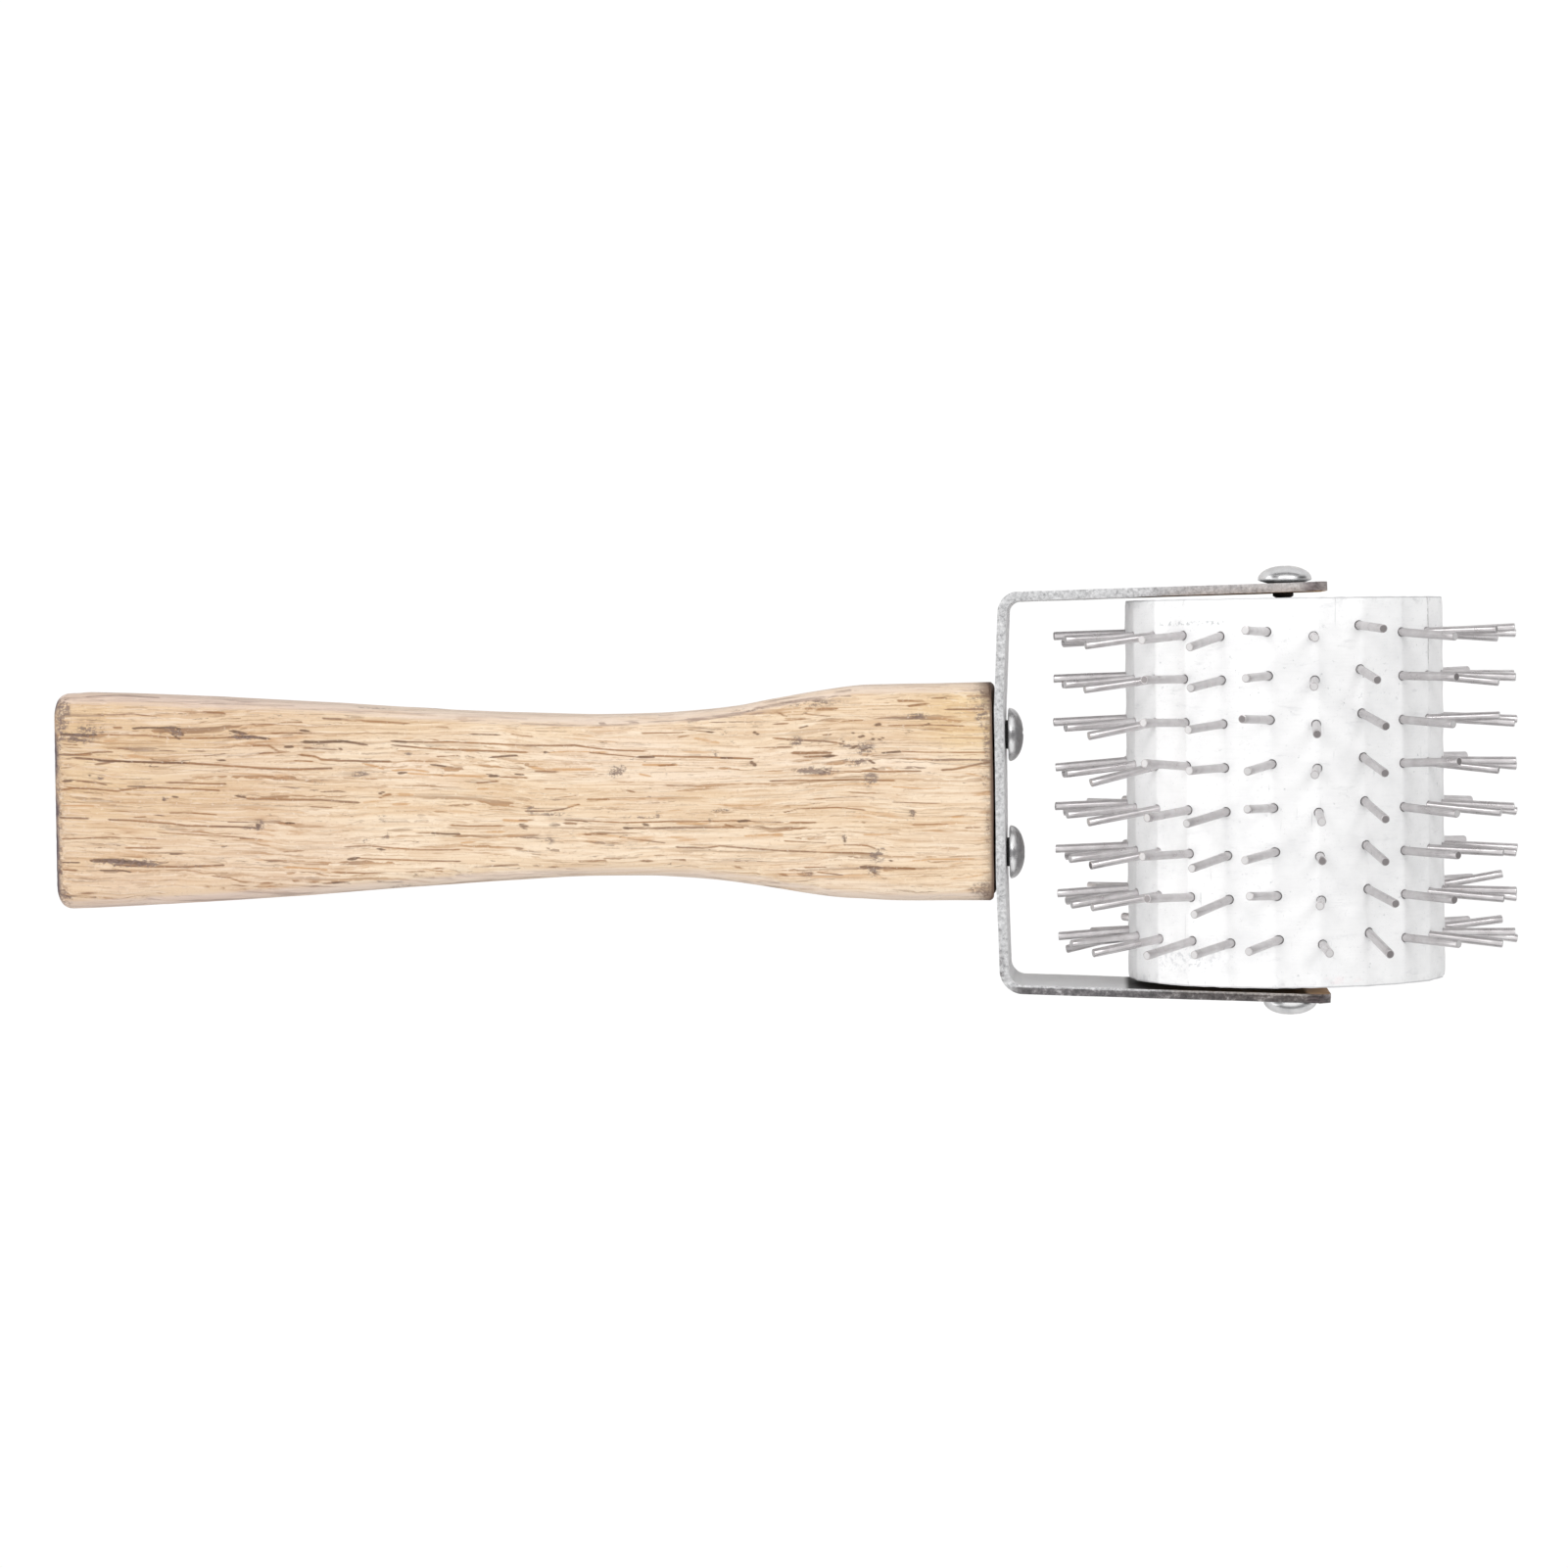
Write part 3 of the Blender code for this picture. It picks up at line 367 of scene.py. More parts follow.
def end_grain_material():
    g = Graph("drum_core_end_grain")
    x, y, z = g.xyz(g.mm)
    pith = g.vec_math("SUBTRACT", g.join(x, 0.0, z), (AXLE_X * 1000 - 17.0, 0.0, -31.0))
    wobble = g.noise(g.vec_math("MULTIPLY", g.mm, (0.08, 0.004, 0.08)), detail=3.0)
    r = g.math("ADD", g.vec_math("LENGTH", pith), g.math("MULTIPLY", wobble, 5.0))
    ring = g.math("FRACT", g.math("MULTIPLY", r, 0.42))
    band = g.ramp(ring, ((0.0, lin(214, 178, 134)), (0.7, lin(198, 158, 112)), (0.9, lin(160, 118, 78)), (1.0, lin(210, 172, 128))))
    pores = g.span(g.noise(g.vec_math("MULTIPLY", g.mm, (2.4, 0.05, 2.4)), detail=2.0), 0.60, 0.70)
    colour = g.mix(g.math("MULTIPLY", pores, 0.6), band, lin(110, 78, 52))
    saw = g.noise(g.vec_math("MULTIPLY", g.mm, (0.35, 0.1, 6.0)), detail=2.0)
    colour = g.mix(g.span(saw, 0.4, 0.75, 0.0, 0.3), colour, lin(228, 196, 158))
    darkening = g.noise(g.mm, 0.09, detail=4.0, rough=0.65)
    colour = g.mix(g.span(darkening, 0.5, 0.75, 0.0, 0.5), colour, lin(120, 96, 78))
    height = g.math("SUBTRACT", g.math("MULTIPLY", saw, 0.6), g.math("MULTIPLY", pores, 0.7))
    return g.finish(Base_Color=colour, Roughness=0.8, Normal=g.bump(height, 0.0002, 0.6))


def strip_material():
    g = Graph("galvanised_strip_steel")
    x, y, z = g.xyz(g.mm)
    geo = g.tree.nodes.new("ShaderNodeNewGeometry")
    nx, ny, nz = g.xyz(geo.outputs["Normal"])
    spangle = g.voronoi(g.vec_math("MULTIPLY", g.mm, (0.22, 0.22, 0.22)), 1.0, "F1", "Color")
    cell = g.xyz(spangle)[0]
    blotch = g.noise(g.mm, 0.12, detail=4.0, rough=0.6)
    grain = g.noise(g.mm, 2.3, detail=3.0, rough=0.7)
    colour = g.ramp(blotch, ((0.3, (0.56, 0.565, 0.57)), (0.55, (0.66, 0.66, 0.665)), (0.75, (0.74, 0.74, 0.745))))
    colour = g.mix(0.26, colour, g.ramp(cell, ((0.0, (0.50, 0.51, 0.52)), (1.0, (0.82, 0.82, 0.83)))))
    colour = g.mix(g.span(grain, 0.50, 0.70, 0.0, 0.5), colour, (0.40, 0.40, 0.41))
    # The sheared edges, which face +Z and -Z, are coarser: pale with dark pits
    cut = g.span(g.math("ABSOLUTE", nz), 0.5, 0.9)
    burr = g.noise(g.vec_math("MULTIPLY", g.mm, (1.0, 1.0, 0.2)), 1.5, detail=4.0, rough=0.8)
    cut_colour = g.ramp(burr, ((0.34, (0.22, 0.22, 0.225)), (0.44, (0.42, 0.42, 0.425)), (0.53, (0.54, 0.54, 0.545)), (0.66, (0.70, 0.70, 0.705))))
    colour = g.mix(g.math("MULTIPLY", cut, 0.92), colour, cut_colour)
    mottle = g.noise(g.mm, 0.75, detail=4.0, rough=0.75)
    # Painted light: the faces inside the bends (the web's face towards the drum and the arms' inner faces) are painted
    # paler, as if better lit
    inside = g.math("MAXIMUM", g.span(nx, 0.5, 0.9), g.math("MAXIMUM", g.math("MULTIPLY", g.span(ny, 0.5, 0.9), g.span(y, -25.0, -27.0)),
                                                        g.math("MULTIPLY", g.span(ny, -0.5, -0.9), g.span(y, 25.0, 27.0))))
    colour = g.mix(g.math("MULTIPLY", inside, g.span(mottle, 0.2, 0.5, 0.55, 0.80)), colour, (0.92, 0.92, 0.925))
    # Tarnish on the -Y arm's edge
    off = g.math("ADD", y, g.math("ADD", 34.77, g.math("MULTIPLY", g.math("SUBTRACT", 215.0, x), -math.tan(math.radians(2.2)))))
    outer_side = g.span(g.math("ADD", off, g.math("MULTIPLY", g.math("SUBTRACT", mottle, 0.5), 0.5)), 0.52, 0.28)
    corner = g.math("MULTIPLY", g.math("MULTIPLY", g.span(x, 161.2, 160.4), g.span(y, -24.0, -30.0)), g.span(mottle, 0.46, 0.56))
    tarnish = g.math("MULTIPLY", g.math("MAXIMUM", g.math("MULTIPLY", outer_side, g.math("MULTIPLY", g.span(y, -29.5, -31.5), g.span(x, 160.5, 164.0))), corner), cut)
    colour = g.mix(g.math("MULTIPLY", tarnish, 0.92), colour, g.ramp(mottle, (
        (0.36, (0.026, 0.023, 0.025)), (0.48, (0.085, 0.078, 0.082)), (0.58, (0.16, 0.148, 0.152)), (0.68, (0.46, 0.45, 0.455)))))
    # Painted shadow: that arm's inner face painted near black under the drum's rim
    inner = g.math("MULTIPLY", g.span(ny, 0.4, 0.8), g.span(y, -28.0, -30.0))
    scale = g.math("MULTIPLY", inner, g.math("MULTIPLY", g.span(x, 180.6, 181.8), g.span(x, 212.0, 210.8)))
    colour = g.mix(g.math("MULTIPLY", scale, g.span(mottle, 0.25, 0.45, 0.75, 0.97)), colour, (0.018, 0.016, 0.017))
    # Painted light: the end of that inner face, beyond the drum, painted pale as a lit patch
    painted_lit_end = g.math("MULTIPLY", inner, g.span(x, 210.6, 211.6))
    colour = g.mix(g.math("MULTIPLY", painted_lit_end, 0.85), colour, g.ramp(mottle, ((0.35, lin(206, 204, 208)), (0.65, lin(240, 240, 248)))))
    # Purple-brown staining at both arm ends
    end = g.math("MULTIPLY", g.span(x, AXLE_X * 1000 + 1.8, AXLE_X * 1000 + 4.0), g.math("MAXIMUM", cut, g.span(nx, 0.5, 0.9)))
    streak = g.noise(g.vec_math("MULTIPLY", g.mm, (0.35, 2.4, 1.0)), 1.0, detail=3.0, rough=0.7)
    stain = g.math("MULTIPLY", end, g.span(streak, 0.62, 0.42, 0.72, 1.0))
    colour = g.mix(g.math("MULTIPLY", stain, 0.90), colour, g.ramp(streak, ((0.40, lin(42, 35, 39)), (0.60, lin(104, 94, 99)))))
    faint = g.math("MULTIPLY", g.math("MULTIPLY", g.span(x, 178.0, 196.0), g.span(y, 20.0, 26.0)), cut)
    colour = g.mix(g.math("MULTIPLY", faint, 0.22), colour, lin(146, 136, 142))
    dark = g.math("MAXIMUM", g.math("MAXIMUM", tarnish, scale), g.math("MAXIMUM", stain, painted_lit_end))
    rough = g.math("ADD", 0.40, g.math("MULTIPLY", g.math("ADD", blotch, g.math("MULTIPLY", dark, 0.4)), 0.28))
    height = g.math("ADD", g.math("MULTIPLY", grain, 0.5), g.math("MULTIPLY", g.math("MULTIPLY", burr, cut), 1.4))
    metal = g.math("SUBTRACT", 0.40, g.math("MULTIPLY", dark, 0.3))
    return g.finish(Base_Color=colour, Metallic=metal, Roughness=rough, Normal=g.bump(height, 0.00008, 0.6))


def sheet_material():
    g = Graph("drum_aluminium_sheet")
    x, y, z = g.xyz(g.mm)
    cloud = g.noise(g.mm, 0.10, detail=5.0, rough=0.6)
    colour = g.ramp(cloud, ((0.32, (0.80, 0.802, 0.806)), (0.45, (0.86, 0.861, 0.864)), (0.56, (0.90, 0.90, 0.902)), (0.7, (0.93, 0.93, 0.932))))
    # Rolling marks round the drum, faint
    roll = g.noise(g.vec_math("MULTIPLY", g.mm, (0.25, 3.2, 0.25)), 1.0, detail=2.0)
    colour = g.mix(g.span(roll, 0.45, 0.75, 0.0, 0.10), colour, (0.70, 0.70, 0.71))
    # Grey specks and smudges
    speck = g.span(g.noise(g.mm, 0.95, detail=3.0, rough=0.75), 0.635, 0.72)
    where = g.span(g.noise(g.mm, 0.07, detail=2.0), 0.40, 0.62)
    colour = g.mix(g.math("MULTIPLY", g.math("MULTIPLY", speck, where), 0.75), colour, (0.50, 0.51, 0.525))
    smear = g.span(g.noise(g.vec_math("MULTIPLY", g.mm, (0.25, 0.9, 0.25)), 0.6, detail=4.0, rough=0.7), 0.58, 0.75)
    colour = g.mix(g.math("MULTIPLY", smear, 0.42), colour, (0.58, 0.585, 0.60))
    # Scratches
    scratch = g.noise(g.vec_math("MULTIPLY", g.mm, (1.4, 0.10, 1.4)), 1.3, detail=1.0)
    scratch = g.math("MULTIPLY", g.span(scratch, 0.73, 0.77), g.span(cloud, 0.45, 0.6))
    colour = g.mix(g.math("MULTIPLY", scratch, 0.4), colour, (0.52, 0.53, 0.54))
    # Fine handling grit, a scored line near the +X edge and a few rubbed marks
    grit = g.math("MULTIPLY", g.span(g.noise(g.mm, 2.2, detail=3.0, rough=0.8), 0.58, 0.70), g.span(g.noise(g.vec_math("ADD", g.mm, (5.0, 9.0, 2.0)), 0.22, detail=3.0), 0.36, 0.62))
    colour = g.mix(g.math("MULTIPLY", grit, 0.42), colour, (0.56, 0.565, 0.575))
    theta = g.math("MULTIPLY", g.math("ARCTAN2", g.math("SUBTRACT", x, AXLE_X * 1000), z), 180 / math.pi)
    score_at = g.math("ADD", theta, g.math("MULTIPLY", g.math("SUBTRACT", mottled(g), 0.5), 1.6))
    score = g.math("MULTIPLY", g.math("MULTIPLY", g.span(score_at, 60.0, 60.7), g.span(score_at, 61.9, 61.2)), g.math("MULTIPLY", g.span(y, 19.5, 21.5), g.span(mottled(g), 0.34, 0.52)))
    colour = g.mix(g.math("MULTIPLY", score, 0.85), colour, (0.34, 0.32, 0.33))
    dashes = g.math("MULTIPLY", g.math("MULTIPLY", g.span(y, 27.3, 27.7), g.span(y, 28.4, 28.0)), g.math("MULTIPLY", g.span(theta, -56.0, -50.0), g.span(theta, -20.0, -26.0)))
    dashes = g.math("MULTIPLY", dashes, g.span(g.noise(g.mm, 1.4, detail=2.0), 0.50, 0.60))
    colour = g.mix(g.math("MULTIPLY", dashes, 0.8), colour, (0.48, 0.49, 0.50))
    crust = g.math("MULTIPLY", g.math("MULTIPLY", g.span(y, -24.6, -26.4), g.span(y, -30.4, -28.2)), g.math("MULTIPLY", g.span(theta, -60.0, -50.0), g.span(theta, -18.0, -34.0)))
    crust = g.math("MULTIPLY", crust, g.span(g.noise(g.mm, 1.1, detail=4.0, rough=0.75), 0.50, 0.62))
    colour = g.mix(g.math("MULTIPLY", crust, 0.65), colour, (0.56, 0.565, 0.585))
    # Darker round the needles and along the rims
    darkening = g.attr("darkening")
    darkening = g.math("MULTIPLY", darkening, g.span(g.noise(g.mm, 1.2, detail=4.0), 0.35, 0.65, 0.25, 1.0))
    colour = g.mix(g.math("MULTIPLY", darkening, 0.22), colour, (0.46, 0.46, 0.47))
    lip = g.span(g.math("ABSOLUTE", y), DRUM_HALF * 1000 - 0.34, DRUM_HALF * 1000 - 0.16)
    colour = g.mix(g.math("MULTIPLY", lip, 0.72), colour, (0.46, 0.46, 0.47))
    rim = g.span(g.math("ABSOLUTE", y), 29.6, 31.8)
    rim = g.math("MULTIPLY", rim, g.span(g.noise(g.mm, 0.5, detail=4.0, rough=0.7), 0.50, 0.68))
    colour = g.mix(g.math("MULTIPLY", rim, 0.5), colour, (0.52, 0.515, 0.525))
    # A faint pinkish smudge near the lower rim
    dx = g.math("SUBTRACT", x, AXLE_X * 1000 + 7.5)
    dy = g.math("SUBTRACT", y, -30.6)
    near = g.span(g.math("ADD", g.math("MULTIPLY", dx, g.math("MULTIPLY", dx, 0.06)), g.math("MULTIPLY", dy, g.math("MULTIPLY", dy, 1.6))), 1.0, 0.2)
    near = g.math("MULTIPLY", near, g.span(z, 10.0, 20.0))
    colour = g.mix(g.math("MULTIPLY", near, g.span(g.noise(g.mm, 0.35, detail=2.0), 0.40, 0.66, 0.0, 0.34)), colour, lin(236, 206, 208))
    rough = g.math("ADD", 0.42, g.math("MULTIPLY", cloud, 0.22))
    height = g.math("ADD", g.math("MULTIPLY", roll, 0.25), g.math("SUBTRACT", g.math("MULTIPLY", cloud, 0.8), g.math("ADD", scratch, g.math("MULTIPLY", speck, 0.3))))
    return g.finish(Base_Color=colour, Metallic=0.12, Roughness=rough, Normal=g.bump(height, 0.00008, 0.5))


def mottled(g):
    return g.noise(g.mm, 1.1, detail=4.0, rough=0.7)


def wire_material():
    g = Graph("needle_cut_wire")
    along = g.noise(g.mm, 0.45, detail=3.0)
    fine = g.noise(g.mm, 3.0, detail=3.0, rough=0.7)
    colour = g.ramp(along, ((0.3, (0.58, 0.555, 0.56)), (0.55, (0.68, 0.655, 0.66)), (0.75, (0.75, 0.735, 0.735))))
    colour = g.mix(g.span(fine, 0.55, 0.75, 0.0, 0.3), colour, (0.40, 0.36, 0.36))
    rust = g.span(g.noise(g.mm, 0.8, detail=4.0, rough=0.7), 0.63, 0.75)
    colour = g.mix(g.math("MULTIPLY", rust, 0.35), colour, lin(150, 112, 98))
    # Painted shade by row: the per-row tone darkens the rows near the top and leaves the outer rows lighter
    colour = g.mix(1.0, colour, g.attr("tone"), "MULTIPLY")
    # Cut ends: painted highlights and painted shade, with a painted dark outline round each rim
    colour = g.mix(g.attr("end_painted_highlight"), colour, (0.60, 0.59, 0.59))
    colour = g.mix(g.attr("end_painted_shade"), colour, (0.16, 0.145, 0.145))
    rough = g.math("ADD", g.math("ADD", 0.24, g.math("MULTIPLY", along, 0.10)), g.math("MULTIPLY", g.attr("end_painted_highlight"), 0.3))
    return g.finish(Base_Color=colour, Metallic=0.85, Roughness=rough, Normal=g.bump(g.noise(g.mm, 0.5, detail=1.0), 0.00002, 0.15))


def screw_material():
    g = Graph("screw_bright_zinc")
    tone = g.noise(g.mm, 0.5, detail=4.0)
    fine = g.noise(g.mm, 3.5, detail=3.0, rough=0.7)
    colour = g.ramp(tone, ((0.3, (0.60, 0.60, 0.61)), (0.6, (0.76, 0.76, 0.765)), (0.8, (0.82, 0.82, 0.815))))
    colour = g.mix(g.span(fine, 0.55, 0.75, 0.0, 0.3), colour, (0.42, 0.42, 0.43))
    # Painted light on the heads: the "shade" attribute holds painted shade and painted dark reflections, "glint" holds
    # painted highlights, and the third attribute darkens the head's body as a painted dark reflection
    dark, glint = g.attr("shade"), g.attr("glint")
    colour = g.mix(g.attr("painted_dimming"), colour, (0.20, 0.195, 0.20))
    colour = g.mix(glint, colour, (0.95, 0.95, 0.95))
    colour = g.mix(dark, colour, (0.035, 0.033, 0.034))
    rough = g.math("ADD", g.math("ADD", 0.13, g.math("MULTIPLY", fine, 0.14)), g.math("MULTIPLY", dark, 0.4))
    metal = g.math("SUBTRACT", 1.0, g.math("MAXIMUM", g.math("MULTIPLY", dark, 0.6), g.math("MULTIPLY", glint, 0.75)))
    return g.finish(Base_Color=colour, Metallic=metal, Roughness=rough, Normal=g.bump(g.math("ADD", fine, tone), 0.00003, 0.5))


# ------------------------------------------------------------------ mesh helpers
def add(name, mesh, mat, body, slot, *replaced):
    obj = bpy.data.objects.new(name, mesh)
    scene.collection.objects.link(obj)
    mesh.materials.clear()
    mesh.materials.append(mat)
    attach(obj, body)
    if replaced:
        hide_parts(*replaced)
    return obj


def smooth(mesh, angle=40.0):
    for face in mesh.polygons:
        face.use_smooth = True
    mesh.set_sharp_from_angle(angle=math.radians(angle))


def paint(mesh, name, values):
    layer = mesh.attributes.new(name, "FLOAT", "POINT")
    layer.data.foreach_set("value", np.asarray(values, np.float32))


def points_of(mesh):
    co = np.empty(len(mesh.vertices) * 3, np.float32)
    mesh.vertices.foreach_get("co", co)
    return co.reshape(-1, 3).astype(float)


def pointing(direction, at):
    z = Vector(direction).normalized()
    return Matrix.Translation(at) @ z.to_track_quat("Z", "Y").to_matrix().to_4x4()


def evaluated(obj):
    """The object's mesh with its modifiers applied."""
    bpy.context.view_layer.update()
    graph = bpy.context.evaluated_depsgraph_get()
    return bpy.data.meshes.new_from_object(obj.evaluated_get(graph))


def cut(mesh, cutter_mesh, solver="MANIFOLD"):
    """mesh less cutter_mesh."""
    a = bpy.data.objects.new("work", mesh)
    b = bpy.data.objects.new("cutter", cutter_mesh)
    for o in (a, b):
        scene.collection.objects.link(o)
    mod = a.modifiers.new("cut", "BOOLEAN")
    mod.operation = "DIFFERENCE"
    mod.solver = solver
    mod.object = b
    made = evaluated(a)
    for o in (a, b):
        bpy.data.objects.remove(o, do_unlink=True)
    return made


def fbm(p, octaves=3):
    return noise.fractal(p, 1.0, 2.0, octaves)


# ------------------------------------------------------------------ handle
def half_width(x):
    xs = [s[0] * MM for s in HANDLE_HALF_WIDTHS]
    ws = [s[1] * MM for s in HANDLE_HALF_WIDTHS]
    x = min(max(x, xs[0]), xs[-1])
    slope = [(ws[i + 1] - ws[i]) / (xs[i + 1] - xs[i]) for i in range(len(xs) - 1)]
    tangent = [slope[0]] + [0.0 if a * b <= 0 else 2 * a * b / (a + b) for a, b in zip(slope, slope[1:])] + [slope[-1]]
    i = max(k for k in range(len(xs) - 1) if xs[k] <= x)
    h = xs[i + 1] - xs[i]
    t = (x - xs[i]) / h
    return ((2 * t**3 - 3 * t**2 + 1) * ws[i] + (t**3 - 2 * t**2 + t) * h * tangent[i]
            + (-2 * t**3 + 3 * t**2) * ws[i + 1] + (t**3 - t**2) * h * tangent[i + 1])


# Smudges and dents on the broad face: x, y in millimetres from the butt centre, reach along and across, strength
MARKS = (
    (1.2, 16.6, 1.0, 0.9, 1.5), (0.9, 9.2, 0.7, 1.6, 1.3), (0.8, -8.6, 0.6, 1.6, 1.2), (0.8, -12.0, 0.6, 1.5, 1.4), (1.4, -15.6, 1.3, 1.0, 1.4), (0.8, 1.6, 0.5, 1.4, 1.1),
    (5.6, 11.4, 1.6, 1.0, 1.4), (8.6, 12.0, 1.1, 0.6, 1.1), (2.2, 13.6, 0.9, 0.8, 1.2), (19.6, 11.6, 1.0, 0.6, 1.2), (11.5, -10.6, 3.2, 0.5, 1.2),
    (2.4, 15.6, 0.9, 1.9, 1.5), (1.5, 13.0, 0.8, 1.6, 1.3), (3.0, 11.1, 2.3, 0.5, 1.6), (6.4, 12.2, 1.3, 0.9, 1.2), (4.8, 10.3, 2.2, 0.5, 1.3),
    (21.6, 11.4, 0.8, 0.9, 1.5), (21.3, 12.4, 1.6, 0.35, 1.0), (32.2, 11.0, 1.6, 0.45, 1.6), (34.4, 10.5, 2.4, 0.35, 1.2), (27.5, 10.9, 1.6, 0.3, 0.8),
    (35.5, -4.2, 0.9, 0.9, 1.5), (33.8, -4.6, 1.2, 0.5, 1.0), (12.8, -10.3, 5.2, 0.55, 1.5), (15.6, -10.6, 2.0, 0.7, 1.2), (24.0, -11.0, 2.4, 0.5, 0.8),
    (8.4, 4.0, 0.45, 0.45, 1.2), (19.4, 0.4, 0.6, 0.4, 0.9), (29.0, -10.0, 0.7, 0.7, 0.8),
    (96.0, 4.1, 1.1, 0.9, 1.8), (97.2, 4.7, 0.7, 0.5, 1.2), (83.6, 7.6, 0.7, 0.35, 1.2), (85.5, -2.9, 2.6, 0.35, 0.9), (84.8, -7.2, 0.9, 0.8, 0.9),
    (56.6, -3.2, 0.8, 0.6, 1.1), (57.2, -6.2, 1.0, 0.6, 1.0), (53.6, -7.0, 0.6, 0.4, 1.0), (81.8, -2.0, 0.9, 1.0, 0.9), (113.0, 6.9, 0.6, 0.5, 1.2),
    (99.8, -3.6, 3.0, 0.3, 1.0), (103.2, -3.1, 0.7, 0.5, 1.1), (112.0, -4.2, 0.35, 0.8, 1.0), (113.6, -2.6, 1.6, 0.3, 1.3), (114.6, 10.5, 0.7, 0.8, 0.9),
    (126.6, 8.8, 1.1, 1.0, 1.1), (129.4, 4.0, 3.4, 0.6, 1.5), (131.6, 3.5, 1.4, 0.6, 1.2), (136.2, 5.4, 1.8, 0.9, 1.3), (138.4, 7.2, 1.5, 1.4, 1.2),
    (135.0, 8.4, 2.0, 1.0, 0.9), (139.0, 2.2, 1.2, 1.3, 1.3), (141.8, 8.6, 1.2, 0.5, 0.8), (145.9, -3.5, 0.42, 0.62, 3.4), (134.4, -7.6, 0.35, 0.8, 1.9),
    (139.8, -10.6, 1.3, 0.9, 1.4), (140.6, -9.5, 1.0, 0.5, 1.0), (139.2, -13.4, 1.0, 0.7, 1.2), (138.6, -12.4, 4.0, 0.4, 0.9), (127.4, -13.4, 2.4, 0.7, 0.9),
    (147.0, 12.9, 2.4, 0.5, 1.1), (156.4, 14.9, 1.4, 1.0, 0.9), (157.6, 12.6, 1.0, 1.6, 1.2), (158.0, 16.0, 1.0, 1.4, 1.5), (158.0, -16.4, 1.1, 1.4, 1.2),
    (156.2, -16.2, 1.2, 0.9, 1.1), (157.9, 2.0, 0.7, 0.8, 1.4), (158.4, 8.0, 0.6, 3.0, 1.0), (158.5, -6.0, 0.6, 3.2, 1.0), (129.0, 15.2, 6.0, 0.7, 0.9),
    (118.0, 14.2, 4.0, 0.5, 0.7), (0.9, -1.8, 0.7, 1.0, 1.4), (1.0, -4.4, 0.7, 0.7, 1.2), (2.0, -16.6, 0.9, 1.0, 1.2), (0.9, 5.8, 0.6, 1.2, 1.0),
    (61.0, 7.6, 0.8, 0.3, 1.0), (70.0, 9.5, 1.2, 0.3, 0.9), (44.0, 9.2, 4.0, 0.3, 1.0), (45.5, 3.0, 2.2, 0.5, 0.9), (52.0, 4.3, 2.6, 0.5, 1.1),
)


